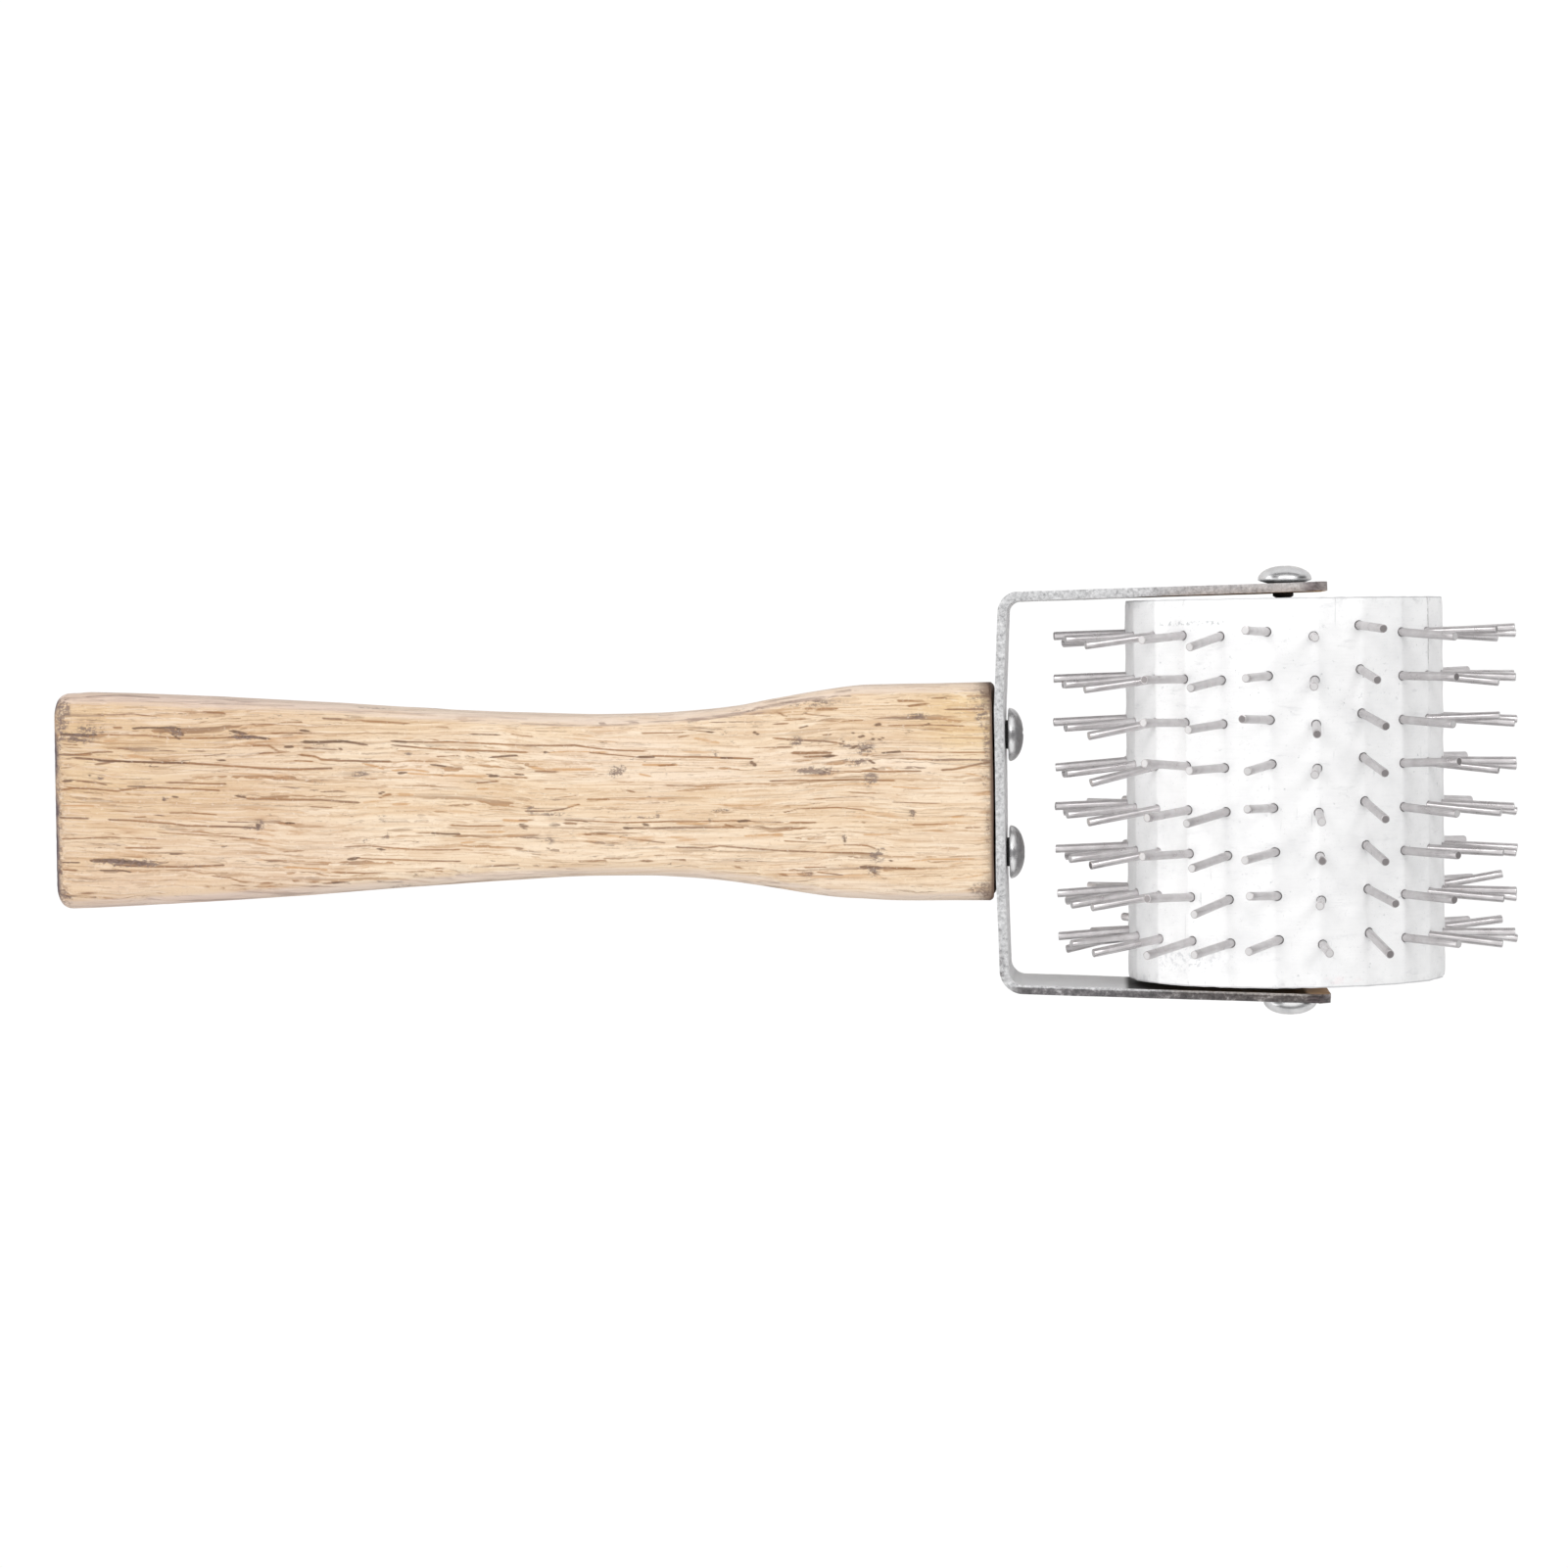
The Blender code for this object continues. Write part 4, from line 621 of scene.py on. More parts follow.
# Grain lines that stand out on the broad face: tone, half width, strength, then points x, y along the line, in millimetres
STROKES = (
    ("dark", 0.21, 0.90, (1.4, 11.45), (6.4, 11.23), (8.1, 11.37)),
    ("brown", 0.15, 0.80, (8.1, 11.37), (16.5, 11.11), (22.1, 10.55), (29.9, 10.62), (35.3, 10.89)),
    ("brown", 0.13, 0.60, (7.9, 14.86), (10.2, 14.66), (14.1, 14.78), (18.3, 14.24)), ("brown", 0.16, 0.80, (10.7, 12.50), (12.4, 12.48)),
    ("dark", 0.16, 0.85, (14.0, 12.30), (16.6, 12.43), (21.9, 12.37)), ("dark", 0.21, 1.00, (21.9, 12.37), (22.6, 11.04)),
    ("dark", 0.16, 0.80, (20.7, 11.39), (22.1, 10.38)), ("brown", 0.13, 0.70, (1.7, 9.79), (4.7, 9.59)),
    ("brown", 0.16, 0.70, (3.0, 7.95), (5.5, 8.09), (8.1, 8.39), (10.6, 8.36)),
    ("brown", 0.18, 0.90, (3.8, 7.44), (6.4, 7.25), (9.7, 6.88), (13.9, 6.67), (19.0, 6.44), (23.2, 6.40), (25.7, 6.20), (31.5, 5.81), (36.5, 5.42), (41.6, 5.20), (48.2, 5.29)),
    ("dark", 0.15, 0.80, (8.0, 6.90), (13.9, 6.67), (23.2, 6.40)), ("brown", 0.20, 0.70, (7.5, 6.24), (10.6, 6.70)),
    ("brown", 0.11, 0.60, (1.3, 5.64), (3.8, 5.95)), ("ochre", 0.33, 0.50, (8.9, 10.20), (11.5, 10.34)),
    ("brown", 0.15, 0.60, (11.1, 9.02), (13.5, 8.82)), ("dark", 0.16, 0.90, (6.3, 4.43), (7.0, 4.42)), ("dark", 0.21, 0.80, (1.7, 3.48), (3.8, 3.63)),
    ("brown", 0.16, 0.60, (3.8, 3.63), (7.6, 3.25), (9.6, 2.73)),
    ("brown", 0.16, 0.80, (1.6, 1.99), (3.7, 2.30), (7.6, 2.09), (11.3, 1.72), (13.0, 2.03), (16.4, 2.33), (21.4, 2.11), (28.9, 1.70)),
    ("dark", 0.13, 0.70, (13.0, 2.53), (16.4, 2.49)), ("brown", 0.16, 0.75, (19.7, 3.12), (23.1, 3.08), (25.6, 2.89), (30.1, 2.84)),
    ("ochre", 0.15, 0.70, (1.2, -0.66), (7.4, -0.73)), ("ochre", 0.10, 0.40, (1.1, -1.33), (6.2, -1.38)),
    ("brown", 0.15, 0.85, (1.1, -2.66), (6.2, -2.87)),
    ("brown", 0.16, 0.85, (9.5, -3.07), (13.7, -3.28), (20.5, -3.85), (23.0, -4.20), (31.3, -4.45), (35.0, -4.66)),
    ("brown", 0.13, 0.60, (13.7, -2.79), (16.3, -2.64)), ("dark", 0.11, 0.60, (17.6, -2.33), (19.3, -2.51)),
    ("brown", 0.13, 0.65, (20.0, -2.02), (23.3, -2.05), (26.7, -2.25), (28.4, -2.44)), ("dark", 0.20, 0.80, (18.8, 0.15), (19.7, 0.14)),
    ("dark", 0.15, 0.80, (20.5, 0.79), (21.7, 0.61)), ("dark", 0.18, 0.85, (31.4, 0.84), (33.4, 0.49)),
    ("brown", 0.20, 0.80, (33.4, 0.33), (41.5, 0.08), (45.6, 0.03), (49.8, -0.34), (52.8, -0.54)),
    ("brown", 0.11, 0.50, (24.7, -0.58), (30.1, -0.47)), ("brown", 0.13, 0.70, (1.4, -6.31), (5.3, -6.19), (10.0, -6.07), (17.9, -6.48)),
    ("brown", 0.13, 0.50, (10.0, -5.07), (10.8, -5.91)),
    ("brown", 0.11, 0.60, (17.9, -5.32), (24.6, -5.71), (31.3, -6.11), (33.8, -6.47), (36.3, -6.66)),
    ("brown", 0.16, 0.75, (12.5, -7.92), (18.7, -7.98)), ("brown", 0.10, 0.50, (16.2, -8.78), (24.6, -8.86)),
    ("dark", 0.15, 0.75, (19.9, -8.98), (22.0, -9.00)), ("dark", 0.13, 0.80, (1.5, -10.30), (4.7, -10.33)),
    ("dark", 0.36, 0.80, (6.4, -10.02), (10.2, -10.05), (16.1, -10.61)),
    ("brown", 0.21, 0.65, (10.2, -10.72), (16.1, -11.11), (23.7, -11.18), (29.6, -10.90)), ("brown", 0.18, 0.70, (1.5, -11.47), (4.3, -11.66)),
    ("dark", 0.13, 0.80, (7.7, -11.69), (11.9, -11.73), (13.6, -12.08)), ("brown", 0.11, 0.60, (30.0, -3.61), (41.4, -3.89)),
    ("dark", 0.20, 1.00, (35.2, -4.00), (35.5, -5.32)), ("brown", 0.15, 0.70, (27.0, -12.70), (30.4, -13.06), (32.0, -13.74), (39.5, -14.14)),
    ("brown", 0.16, 0.75, (41.2, -13.66), (46.2, -14.03), (51.2, -14.08)), ("brown", 0.10, 0.50, (25.3, -14.51), (29.5, -14.88)),
    ("dark", 0.15, 0.80, (1.4, -16.12), (5.1, -16.16), (7.6, -16.18)), ("dark", 0.26, 0.90, (30.8, 11.77), (33.6, 11.24)),
    ("dark", 0.20, 0.85, (31.3, 10.77), (34.1, 10.74), (37.5, 10.37)), ("brown", 0.21, 0.70, (34.3, 9.25), (37.4, 9.21), (39.1, 8.20), (39.9, 8.19)),
    ("brown", 0.15, 0.60, (35.2, 7.92), (40.8, 8.18)), ("brown", 0.15, 0.70, (37.5, 11.36), (43.3, 11.29)),
    ("brown", 0.13, 0.60, (34.2, 12.89), (38.3, 12.84), (40.0, 13.15), (43.4, 13.11)), ("brown", 0.13, 0.75, (25.8, 15.14), (30.0, 14.76)),
    ("brown", 0.13, 0.60, (23.2, 8.38), (26.5, 8.35)), ("brown", 0.11, 0.60, (26.2, 7.52), (30.2, 7.97)),
    ("dark", 0.16, 0.90, (28.5, 6.83), (29.9, 6.82)), ("brown", 0.13, 0.60, (18.2, 8.61), (21.5, 8.40)),
    ("brown", 0.10, 0.40, (16.4, 5.48), (23.1, 5.24), (30.7, 4.82)), ("dark", 0.20, 0.90, (42.7, 11.80), (44.2, 11.61)),
    ("dark", 0.26, 0.85, (43.0, 9.81), (45.8, 9.78), (50.3, 9.89)), ("dark", 0.21, 0.85, (50.3, 9.89), (52.0, 9.54), (54.1, 9.19)),
    ("dark", 0.24, 0.80, (39.9, 9.02), (41.6, 9.00)), ("brown", 0.16, 0.60, (43.3, 8.82), (49.1, 8.42)),
    ("dark", 0.20, 0.90, (49.1, 8.75), (49.8, 8.41)), ("ochre", 0.39, 0.50, (42.6, 7.83), (45.8, 7.14)),
    ("brown", 0.18, 0.80, (42.4, 7.67), (45.3, 7.31), (46.3, 6.80), (49.1, 6.60), (58.3, 6.34)), ("brown", 0.13, 0.70, (41.6, 6.69), (44.9, 6.48)),
    ("brown", 0.15, 0.80, (44.9, 5.33), (48.2, 5.29)), ("brown", 0.15, 0.80, (46.4, 13.73), (51.7, 13.51), (55.9, 13.13), (60.9, 12.90)),
    ("brown", 0.15, 0.70, (46.4, 15.22), (48.4, 15.36), (53.4, 14.97), (60.1, 14.56), (63.4, 14.19), (68.4, 13.80), (75.0, 13.72), (81.6, 13.15)),
    ("brown", 0.16, 0.60, (58.4, 13.10), (61.7, 12.56), (68.3, 11.99)), ("dark", 0.18, 0.90, (58.3, 9.80), (61.0, 9.60)),
    ("brown", 0.15, 0.80, (60.3, 9.61), (68.3, 9.52), (74.9, 9.11), (81.6, 8.71), (89.0, 8.62)),
    ("brown", 0.15, 0.85, (58.3, 9.14), (63.3, 8.59), (68.3, 8.20), (73.2, 7.98), (81.5, 7.56)), ("brown", 0.13, 0.60, (65.0, 10.05), (66.6, 9.70)),
    ("brown", 0.15, 0.60, (65.8, 7.08), (69.9, 7.19)), ("dark", 0.16, 0.85, (74.9, 6.81), (76.9, 6.95), (79.5, 7.09)),
    ("dark", 0.16, 0.85, (64.9, 5.77), (67.4, 5.41)), ("ochre", 0.23, 0.70, (53.3, 6.06), (55.7, 5.54), (56.9, 5.03)),
    ("ochre", 0.23, 0.60, (58.2, 4.85), (61.6, 4.98), (64.9, 4.45)), ("dark", 0.21, 0.85, (59.1, 4.35), (60.7, 4.49)),
    ("ochre", 0.24, 0.65, (60.7, 4.33), (66.5, 3.94), (73.2, 3.70), (74.5, 3.68)), ("dark", 0.20, 0.90, (74.5, 3.68), (76.5, 3.66)),
    ("brown", 0.15, 0.60, (76.5, 3.50), (81.5, 3.28)), ("dark", 0.13, 0.80, (79.0, 3.96), (80.6, 3.78)),
    ("brown", 0.16, 0.70, (72.3, 2.55), (74.8, 2.69), (76.5, 2.84)), ("ochre", 0.18, 0.70, (72.3, 1.57), (74.5, 1.54)),
    ("brown", 0.13, 0.70, (46.2, 1.35), (49.0, 1.48), (50.2, 1.31)), ("dark", 0.26, 0.85, (56.0, 0.91), (56.8, 1.24)),
    ("brown", 0.20, 0.70, (56.0, 0.25), (57.3, 0.73), (58.2, 0.89)), ("ochre", 0.33, 0.60, (59.0, 0.88), (61.8, 0.69)),
    ("ochre", 0.26, 0.75, (58.1, -0.92), (61.1, -0.79)), ("ochre", 0.26, 0.50, (53.1, -0.54), (55.6, -0.24), (58.1, -0.26)),
    ("brown", 0.13, 0.60, (44.0, -1.11), (48.1, -1.32)), ("brown", 0.10, 0.50, (49.9, 3.62), (55.7, 3.39)),
    ("brown", 0.13, 0.80, (68.1, -4.49), (71.4, -4.69), (74.7, -4.72), (77.2, -4.75)),
    ("ochre", 0.24, 0.75, (76.7, -3.76), (80.5, -3.96), (81.4, -3.97)), ("dark", 0.36, 0.60, (79.7, -4.44), (81.0, -5.45)),
    ("dark", 0.16, 0.95, (64.7, -5.78), (67.2, -5.97), (69.7, -5.99)), ("brown", 0.13, 0.60, (62.2, -5.75), (64.7, -5.78)),
    ("ochre", 0.24, 0.60, (73.9, -5.70), (77.2, -5.74)), ("ochre", 0.20, 0.60, (69.7, -7.48), (72.2, -7.34)),
    ("ochre", 0.24, 0.45, (75.5, -6.71), (76.7, -7.05)),
    ("brown", 0.15, 0.65, (50.0, -7.95), (53.9, -7.82), (58.0, -8.19), (63.0, -8.57), (69.7, -8.63)),
    ("dark", 0.24, 0.70, (55.5, -8.33), (56.8, -8.51)), ("dark", 0.24, 0.95, (50.5, -10.10), (51.6, -9.95), (52.3, -9.79)),
    ("brown", 0.13, 0.70, (52.3, -9.95), (58.0, -10.17), (63.0, -10.39), (69.6, -10.61)),
    ("ochre", 0.23, 0.70, (39.6, -11.32), (44.6, -11.54), (47.1, -11.89)), ("brown", 0.15, 0.80, (47.9, -12.23), (53.8, -12.45), (59.6, -12.34)),
    ("brown", 0.15, 0.70, (60.4, -12.34), (62.9, -12.20), (65.5, -11.73), (67.9, -11.75)), ("brown", 0.11, 0.60, (71.3, -11.62), (79.6, -11.37)),
    ("brown", 0.13, 0.60, (39.6, -8.68), (43.0, -8.54)), ("ochre", 0.20, 0.40, (39.7, -5.70), (44.7, -5.91)),
    ("dark", 0.15, 0.90, (39.7, -3.88), (41.4, -3.89)), ("dark", 0.16, 0.80, (47.9, -14.05), (51.2, -14.08)),
    ("dark", 0.16, 0.70, (55.4, -13.95), (59.6, -13.99)), ("brown", 0.13, 0.60, (61.3, -13.18), (65.4, -13.22)),
    ("brown", 0.16, 0.60, (71.3, -12.77), (75.4, -12.48)), ("brown", 0.13, 0.60, (42.9, -14.50), (46.2, -14.70)),
    ("dark", 0.15, 0.75, (71.6, 10.80), (76.6, 10.58)), ("brown", 0.13, 0.60, (78.3, 10.72), (82.4, 10.18)),
    ("brown", 0.15, 0.80, (88.7, 8.79), (91.5, 8.27), (96.4, 7.72), (101.4, 7.50)), ("dark", 0.21, 0.95, (84.0, 7.53), (84.8, 7.52)),
    ("ochre", 0.16, 0.65, (84.8, 7.52), (88.2, 7.65), (94.8, 7.41)), ("brown", 0.13, 0.70, (91.5, 7.45), (99.7, 6.53)),
    ("brown", 0.16, 0.85, (99.7, 6.53), (102.7, 6.66), (108.0, 6.44), (111.3, 6.40), (114.5, 6.20), (119.5, 5.98)),
    ("dark", 0.20, 0.90, (99.7, 6.53), (102.7, 6.50)), ("dark", 0.16, 0.80, (113.7, 6.21), (115.9, 6.19)),
    ("ochre", 0.29, 0.65, (81.5, 5.09), (84.8, 4.56), (91.4, 4.65), (92.6, 4.64)), ("brown", 0.16, 0.70, (82.3, 4.42), (86.5, 4.21)),
    ("ochre", 0.20, 0.75, (100.5, 5.21), (106.6, 5.14)), ("brown", 0.15, 0.80, (103.3, 5.01), (106.3, 5.14)),
    ("ochre", 0.21, 0.70, (100.0, 3.73), (102.1, 3.22)), ("dark", 0.15, 0.70, (104.8, 4.01), (104.9, 2.86)),
    ("brown", 0.13, 0.50, (83.9, 1.44), (88.1, 1.23)), ("brown", 0.20, 0.80, (98.0, 0.96), (99.3, 0.62)),
    ("brown", 0.16, 0.85, (91.0, -0.44), (95.0, -0.49)), ("brown", 0.11, 0.50, (85.6, -0.22), (89.7, 0.23)),
    ("brown", 0.15, 0.75, (80.6, -2.31), (84.7, -2.35), (87.2, -2.05), (90.0, -1.26)), ("ochre", 0.21, 0.70, (88.0, -1.57), (90.0, -1.26)),
    ("brown", 0.16, 0.70, (79.7, -3.79), (82.2, -3.81)), ("dark", 0.49, 0.50, (84.7, -4.66), (86.6, -4.68)),
    ("dark", 0.52, 0.50, (79.7, -4.61), (81.3, -4.96)),
    ("brown", 0.15, 0.65, (87.2, -3.86), (91.3, -4.07), (97.9, -4.46), (104.5, -4.37), (111.1, -4.43), (116.0, -4.32), (121.0, -4.70)),
    ("brown", 0.23, 0.80, (87.1, -4.35), (89.6, -4.54)), ("brown", 0.18, 0.65, (97.2, -5.28), (101.2, -5.48), (107.8, -5.38), (117.7, -5.48)),
    ("dark", 0.24, 0.85, (97.2, -5.28), (98.7, -5.46)), ("dark", 0.33, 0.65, (100.4, -4.65), (101.7, -4.99)),
    ("ochre", 0.23, 0.65, (106.2, -4.71), (111.9, -4.77)), ("brown", 0.20, 0.75, (114.4, -4.96), (116.0, -5.47)),
    ("dark", 0.20, 1.00, (116.5, -4.49), (118.5, -4.34)), ("ochre", 0.29, 0.55, (89.3, -6.35), (94.6, -6.57), (97.9, -6.93)),
    ("brown", 0.16, 0.75, (90.4, -6.36), (94.2, -6.40)), ("brown", 0.16, 0.50, (97.9, -7.09), (104.5, -7.98)),
    ("brown", 0.15, 0.70, (106.1, -8.66), (111.0, -8.87), (113.5, -8.56), (117.6, -8.93), (120.9, -9.29)),
    ("ochre", 0.24, 0.70, (117.7, -6.96), (120.9, -6.83), (124.2, -6.70)), ("brown", 0.15, 0.65, (89.5, -10.80), (94.5, -10.85)),
    ("brown", 0.13, 0.70, (99.5, -11.06), (102.8, -10.76), (107.7, -10.81)), ("brown", 0.10, 0.40, (111.0, -10.84), (120.9, -10.77)),
    ("brown", 0.13, 0.60, (82.1, -11.55), (87.0, -11.93)), ("brown", 0.10, 0.60, (82.2, -11.06), (82.4, -12.05)),
    ("dark", 0.16, 0.90, (114.9, -6.77), (115.0, -8.08)), ("brown", 0.13, 0.70, (115.1, -12.19), (118.4, -12.22)),
    ("brown", 0.13, 0.60, (100.6, 10.46), (108.0, 10.54)), ("brown", 0.16, 0.60, (106.4, 9.74), (108.8, 10.04)),
    ("brown", 0.13, 0.50, (108.0, 11.03), (113.0, 10.48)), ("ochre", 0.33, 0.55, (109.3, 9.54), (113.8, 8.67)),
    ("dark", 0.15, 0.80, (111.3, 10.67), (112.6, 10.49)), ("brown", 0.13, 0.60, (79.9, 10.37), (82.4, 10.18)),
    ("ochre", 0.20, 0.45, (87.4, 9.96), (91.5, 9.58)),
    ("pale", 0.15, 0.60, (79.9, 12.35), (86.6, 12.11), (91.5, 11.88), (96.5, 11.99), (101.4, 12.26), (108.0, 12.84), (114.6, 13.41), (121.2, 14.48)),
    ("pale", 0.20, 0.80, (84.6, 12.29), (86.9, 12.27)), ("pale", 0.20, 0.85, (93.5, 12.35), (94.8, 12.17)),
    ("pale", 0.23, 0.80, (108.0, 12.18), (110.5, 12.81)), ("pale", 0.20, 0.70, (98.1, 12.13), (99.8, 12.44)),
    ("pale", 0.15, 0.60, (108.0, 12.34), (115.5, 13.24), (122.9, 13.81)), ("pale", 0.15, 0.60, (117.9, 14.03), (124.5, 15.10), (131.1, 16.00)),
    ("dark", 0.24, 0.85, (118.8, 5.66), (119.8, 4.67)), ("dark", 0.20, 0.80, (119.2, 10.57), (120.4, 9.90)),
    ("brown", 0.16, 0.90, (127.8, 14.24), (133.5, 14.17)), ("brown", 0.15, 0.80, (122.8, 11.68), (125.3, 11.81)),
    ("brown", 0.16, 0.85, (122.8, 9.38), (126.9, 9.01), (131.0, 8.80), (134.6, 8.27)), ("brown", 0.13, 0.60, (119.5, 7.78), (126.1, 7.87)),
    ("brown", 0.24, 0.80, (125.7, 6.89), (132.6, 6.82)), ("brown", 0.20, 0.70, (127.7, 6.22), (133.4, 6.32)),
    ("dark", 0.26, 0.85, (131.0, 6.18), (132.9, 6.32)), ("brown", 0.15, 0.80, (121.9, 2.18), (126.8, 2.29), (134.2, 2.21), (143.2, 2.12)),
    ("ochre", 0.16, 0.50, (130.9, 1.10), (135.8, 1.54), (142.4, 1.47)), ("brown", 0.16, 0.80, (137.5, 3.65), (140.8, 3.62), (147.3, 3.71)),
    ("ochre", 0.29, 0.55, (141.6, 4.26), (144.0, 3.58)), ("brown", 0.13, 0.60, (131.8, 3.71), (137.5, 3.49)),
    ("ochre", 0.15, 0.65, (142.4, 1.14), (148.1, 0.76), (150.6, 0.89)),
    ("brown", 0.18, 0.80, (150.6, 3.83), (153.0, 3.97), (157.1, 4.74), (159.1, 5.05)), ("ochre", 0.26, 0.55, (154.7, 3.30), (158.4, 2.44)),
    ("dark", 0.16, 0.90, (140.8, 6.72), (144.1, 7.01)), ("brown", 0.13, 0.75, (144.1, 7.01), (152.3, 6.76), (159.1, 6.68)),
    ("brown", 0.13, 0.85, (141.7, 11.29), (149.0, 11.37), (154.8, 11.14)), ("dark", 0.26, 0.85, (139.7, 11.31), (140.9, 11.63)),
    ("brown", 0.15, 0.90, (151.5, 13.95), (154.8, 13.91), (158.1, 13.87)), ("brown", 0.21, 0.75, (143.4, 15.52), (148.3, 15.30)),
    ("brown", 0.20, 0.80, (145.0, 14.52), (148.8, 14.96)), ("brown", 0.15, 0.70, (149.1, 15.78), (151.6, 15.91)),
    ("brown", 0.13, 0.50, (128.4, -1.00), (132.5, -0.72), (137.4, -0.60), (139.9, -0.79)), ("ochre", 0.23, 0.50, (129.2, -0.85), (131.2, -0.87)),
    ("brown", 0.13, 0.65, (124.3, -3.09), (126.8, -2.46), (133.3, -2.36), (138.2, -2.90)), ("brown", 0.13, 0.75, (125.1, -4.74), (129.7, -4.78)),
    ("brown", 0.11, 0.60, (124.3, -5.71), (130.8, -5.78)), ("brown", 0.16, 0.60, (119.3, -4.68), (124.3, -4.73)),
    ("brown", 0.15, 0.75, (119.3, -9.11), (124.2, -9.49), (132.4, -9.89), (139.0, -10.12)), ("brown", 0.13, 0.60, (124.2, -7.85), (131.6, -8.25)),
    ("brown", 0.15, 0.60, (134.1, -8.60), (138.2, -8.80), (139.8, -9.31)), ("ochre", 0.20, 0.60, (137.4, -6.99), (142.3, -6.88)),
    ("dark", 0.21, 1.00, (134.6, -7.45), (134.6, -8.44)), ("ochre", 0.16, 0.80, (145.5, -11.33), (148.8, -11.03), (156.1, -11.10)),
    ("dark", 0.16, 0.90, (141.9, -11.29), (142.6, -11.30)), ("dark", 0.28, 0.80, (137.0, -12.39), (140.6, -12.43)),
    ("brown", 0.24, 0.75, (140.6, -12.43), (146.3, -12.65)), ("dark", 0.21, 0.90, (138.8, -13.07), (139.9, -13.57)),
    ("brown", 0.13, 0.60, (127.4, -12.31), (131.6, -12.34)), ("brown", 0.33, 0.70, (126.6, -13.45), (129.1, -13.31)),
    ("brown", 0.15, 0.70, (129.9, -13.15), (134.0, -13.68)), ("brown", 0.24, 0.60, (123.3, -13.25), (125.0, -13.76)),
    ("brown", 0.11, 0.80, (145.6, -5.27), (151.8, -5.17)), ("brown", 0.13, 0.70, (154.6, -5.85), (157.5, -5.88)),
    ("ochre", 0.20, 0.70, (152.1, -4.03), (154.6, -3.89)), ("ochre", 0.20, 0.60, (152.0, -14.34), (154.5, -14.19), (157.7, -13.73)),
    ("pale", 0.16, 0.60, (119.6, 14.50), (124.5, 15.42), (131.1, 16.32), (136.0, 16.26)), ("pale", 0.23, 0.60, (132.8, 16.96), (136.0, 17.25)),
    ("pale", 0.20, 0.60, (127.8, 15.71), (134.4, 15.47)), ("brown", 0.11, 0.60, (142.3, -1.47), (150.5, -1.72)),
    ("ochre", 0.20, 0.70, (119.3, -6.65), (124.2, -7.03)), ("brown", 0.10, 0.60, (150.7, 9.23), (159.1, 8.96)),
    ("pale", 0.13, 0.70, (5.7, 17.87), (11.6, 17.96), (18.3, 17.55)),
    ("pale", 0.18, 0.45, (3.5, 17.23), (16.6, 16.90), (26.7, 16.78), (35.1, 16.18), (41.7, 15.94)),
    ("pale", 0.13, 0.60, (29.2, 17.25), (33.4, 17.03)), ("pale", 0.15, 0.50, (41.7, 15.61), (46.7, 15.05)),
    ("brown", 0.13, 0.60, (3.4, -15.48), (9.3, -15.69)), ("brown", 0.11, 0.60, (127.8, 13.42), (132.7, 12.87)),
    ("brown", 0.11, 0.60, (124.5, 12.31), (129.4, 12.58)), ("dark", 0.16, 0.60, (126.9, 10.97), (128.7, 11.44)),
    ("brown", 0.13, 0.70, (134.3, 12.03), (137.9, 12.15)), ("brown", 0.15, 0.70, (131.0, 9.78), (132.7, 9.93)),
    ("brown", 0.13, 0.60, (138.4, 10.35), (139.7, 9.68)), ("brown", 0.13, 0.60, (145.0, 12.56), (146.4, 12.38)),
    ("dark", 0.15, 0.80, (135.6, 9.73), (136.4, 10.21)), ("dark", 0.20, 0.80, (136.9, 9.22), (138.2, 9.70)),
    ("dark", 0.20, 0.90, (138.9, 8.87), (139.9, 9.19)), ("dark", 0.24, 0.90, (135.6, 7.44), (136.9, 7.91)),
    ("dark", 0.16, 0.80, (137.5, 7.09), (139.2, 7.72)), ("dark", 0.20, 0.85, (138.5, 5.60), (139.6, 4.94)),
    ("dark", 0.15, 0.70, (139.0, 4.29), (140.1, 3.95)), ("dark", 0.13, 0.80, (140.2, 8.86), (141.2, 9.34)),
    ("dark", 0.13, 0.70, (147.7, 11.22), (149.0, 11.69)), ("dark", 0.13, 0.60, (144.6, 9.95), (146.1, 10.42)),
    ("brown", 0.15, 0.70, (122.9, 13.81), (125.3, 12.96)), ("dark", 0.13, 0.70, (127.7, 4.09), (128.3, 3.59)),
    ("dark", 0.13, 0.70, (130.6, 3.40), (131.8, 4.04)), ("dark", 0.15, 0.60, (133.6, 8.11), (134.6, 8.76)),
)


def along_stroke(co, half, points):
    """How strongly each vertex lies on a line drawn through the points, tapering at its ends."""
    best = np.zeros(len(co))
    ends = [0.0]
    for a, b in zip(points, points[1:]):
        ends.append(ends[-1] + math.dist(a, b))
    total = max(ends[-1], 1e-6)
    for (ax, ay), (bx, by), begun in zip(points, points[1:], ends):
        dx, dy = bx - ax, by - ay
        length = math.hypot(dx, dy)
        t = np.clip(((co[:, 0] - ax) * dx + (co[:, 1] - ay) * dy) / (length * length), 0, 1)
        off = np.hypot(co[:, 0] - (ax + t * dx), co[:, 1] - (ay + t * dy))
        share = (begun + t * length) / total
        taper = np.minimum(1, np.minimum(share, 1 - share) * total / (2.2 * half) + 0.35)
        best = np.maximum(best, np.exp(-((off / (half * taper)) ** 2)))
    return best


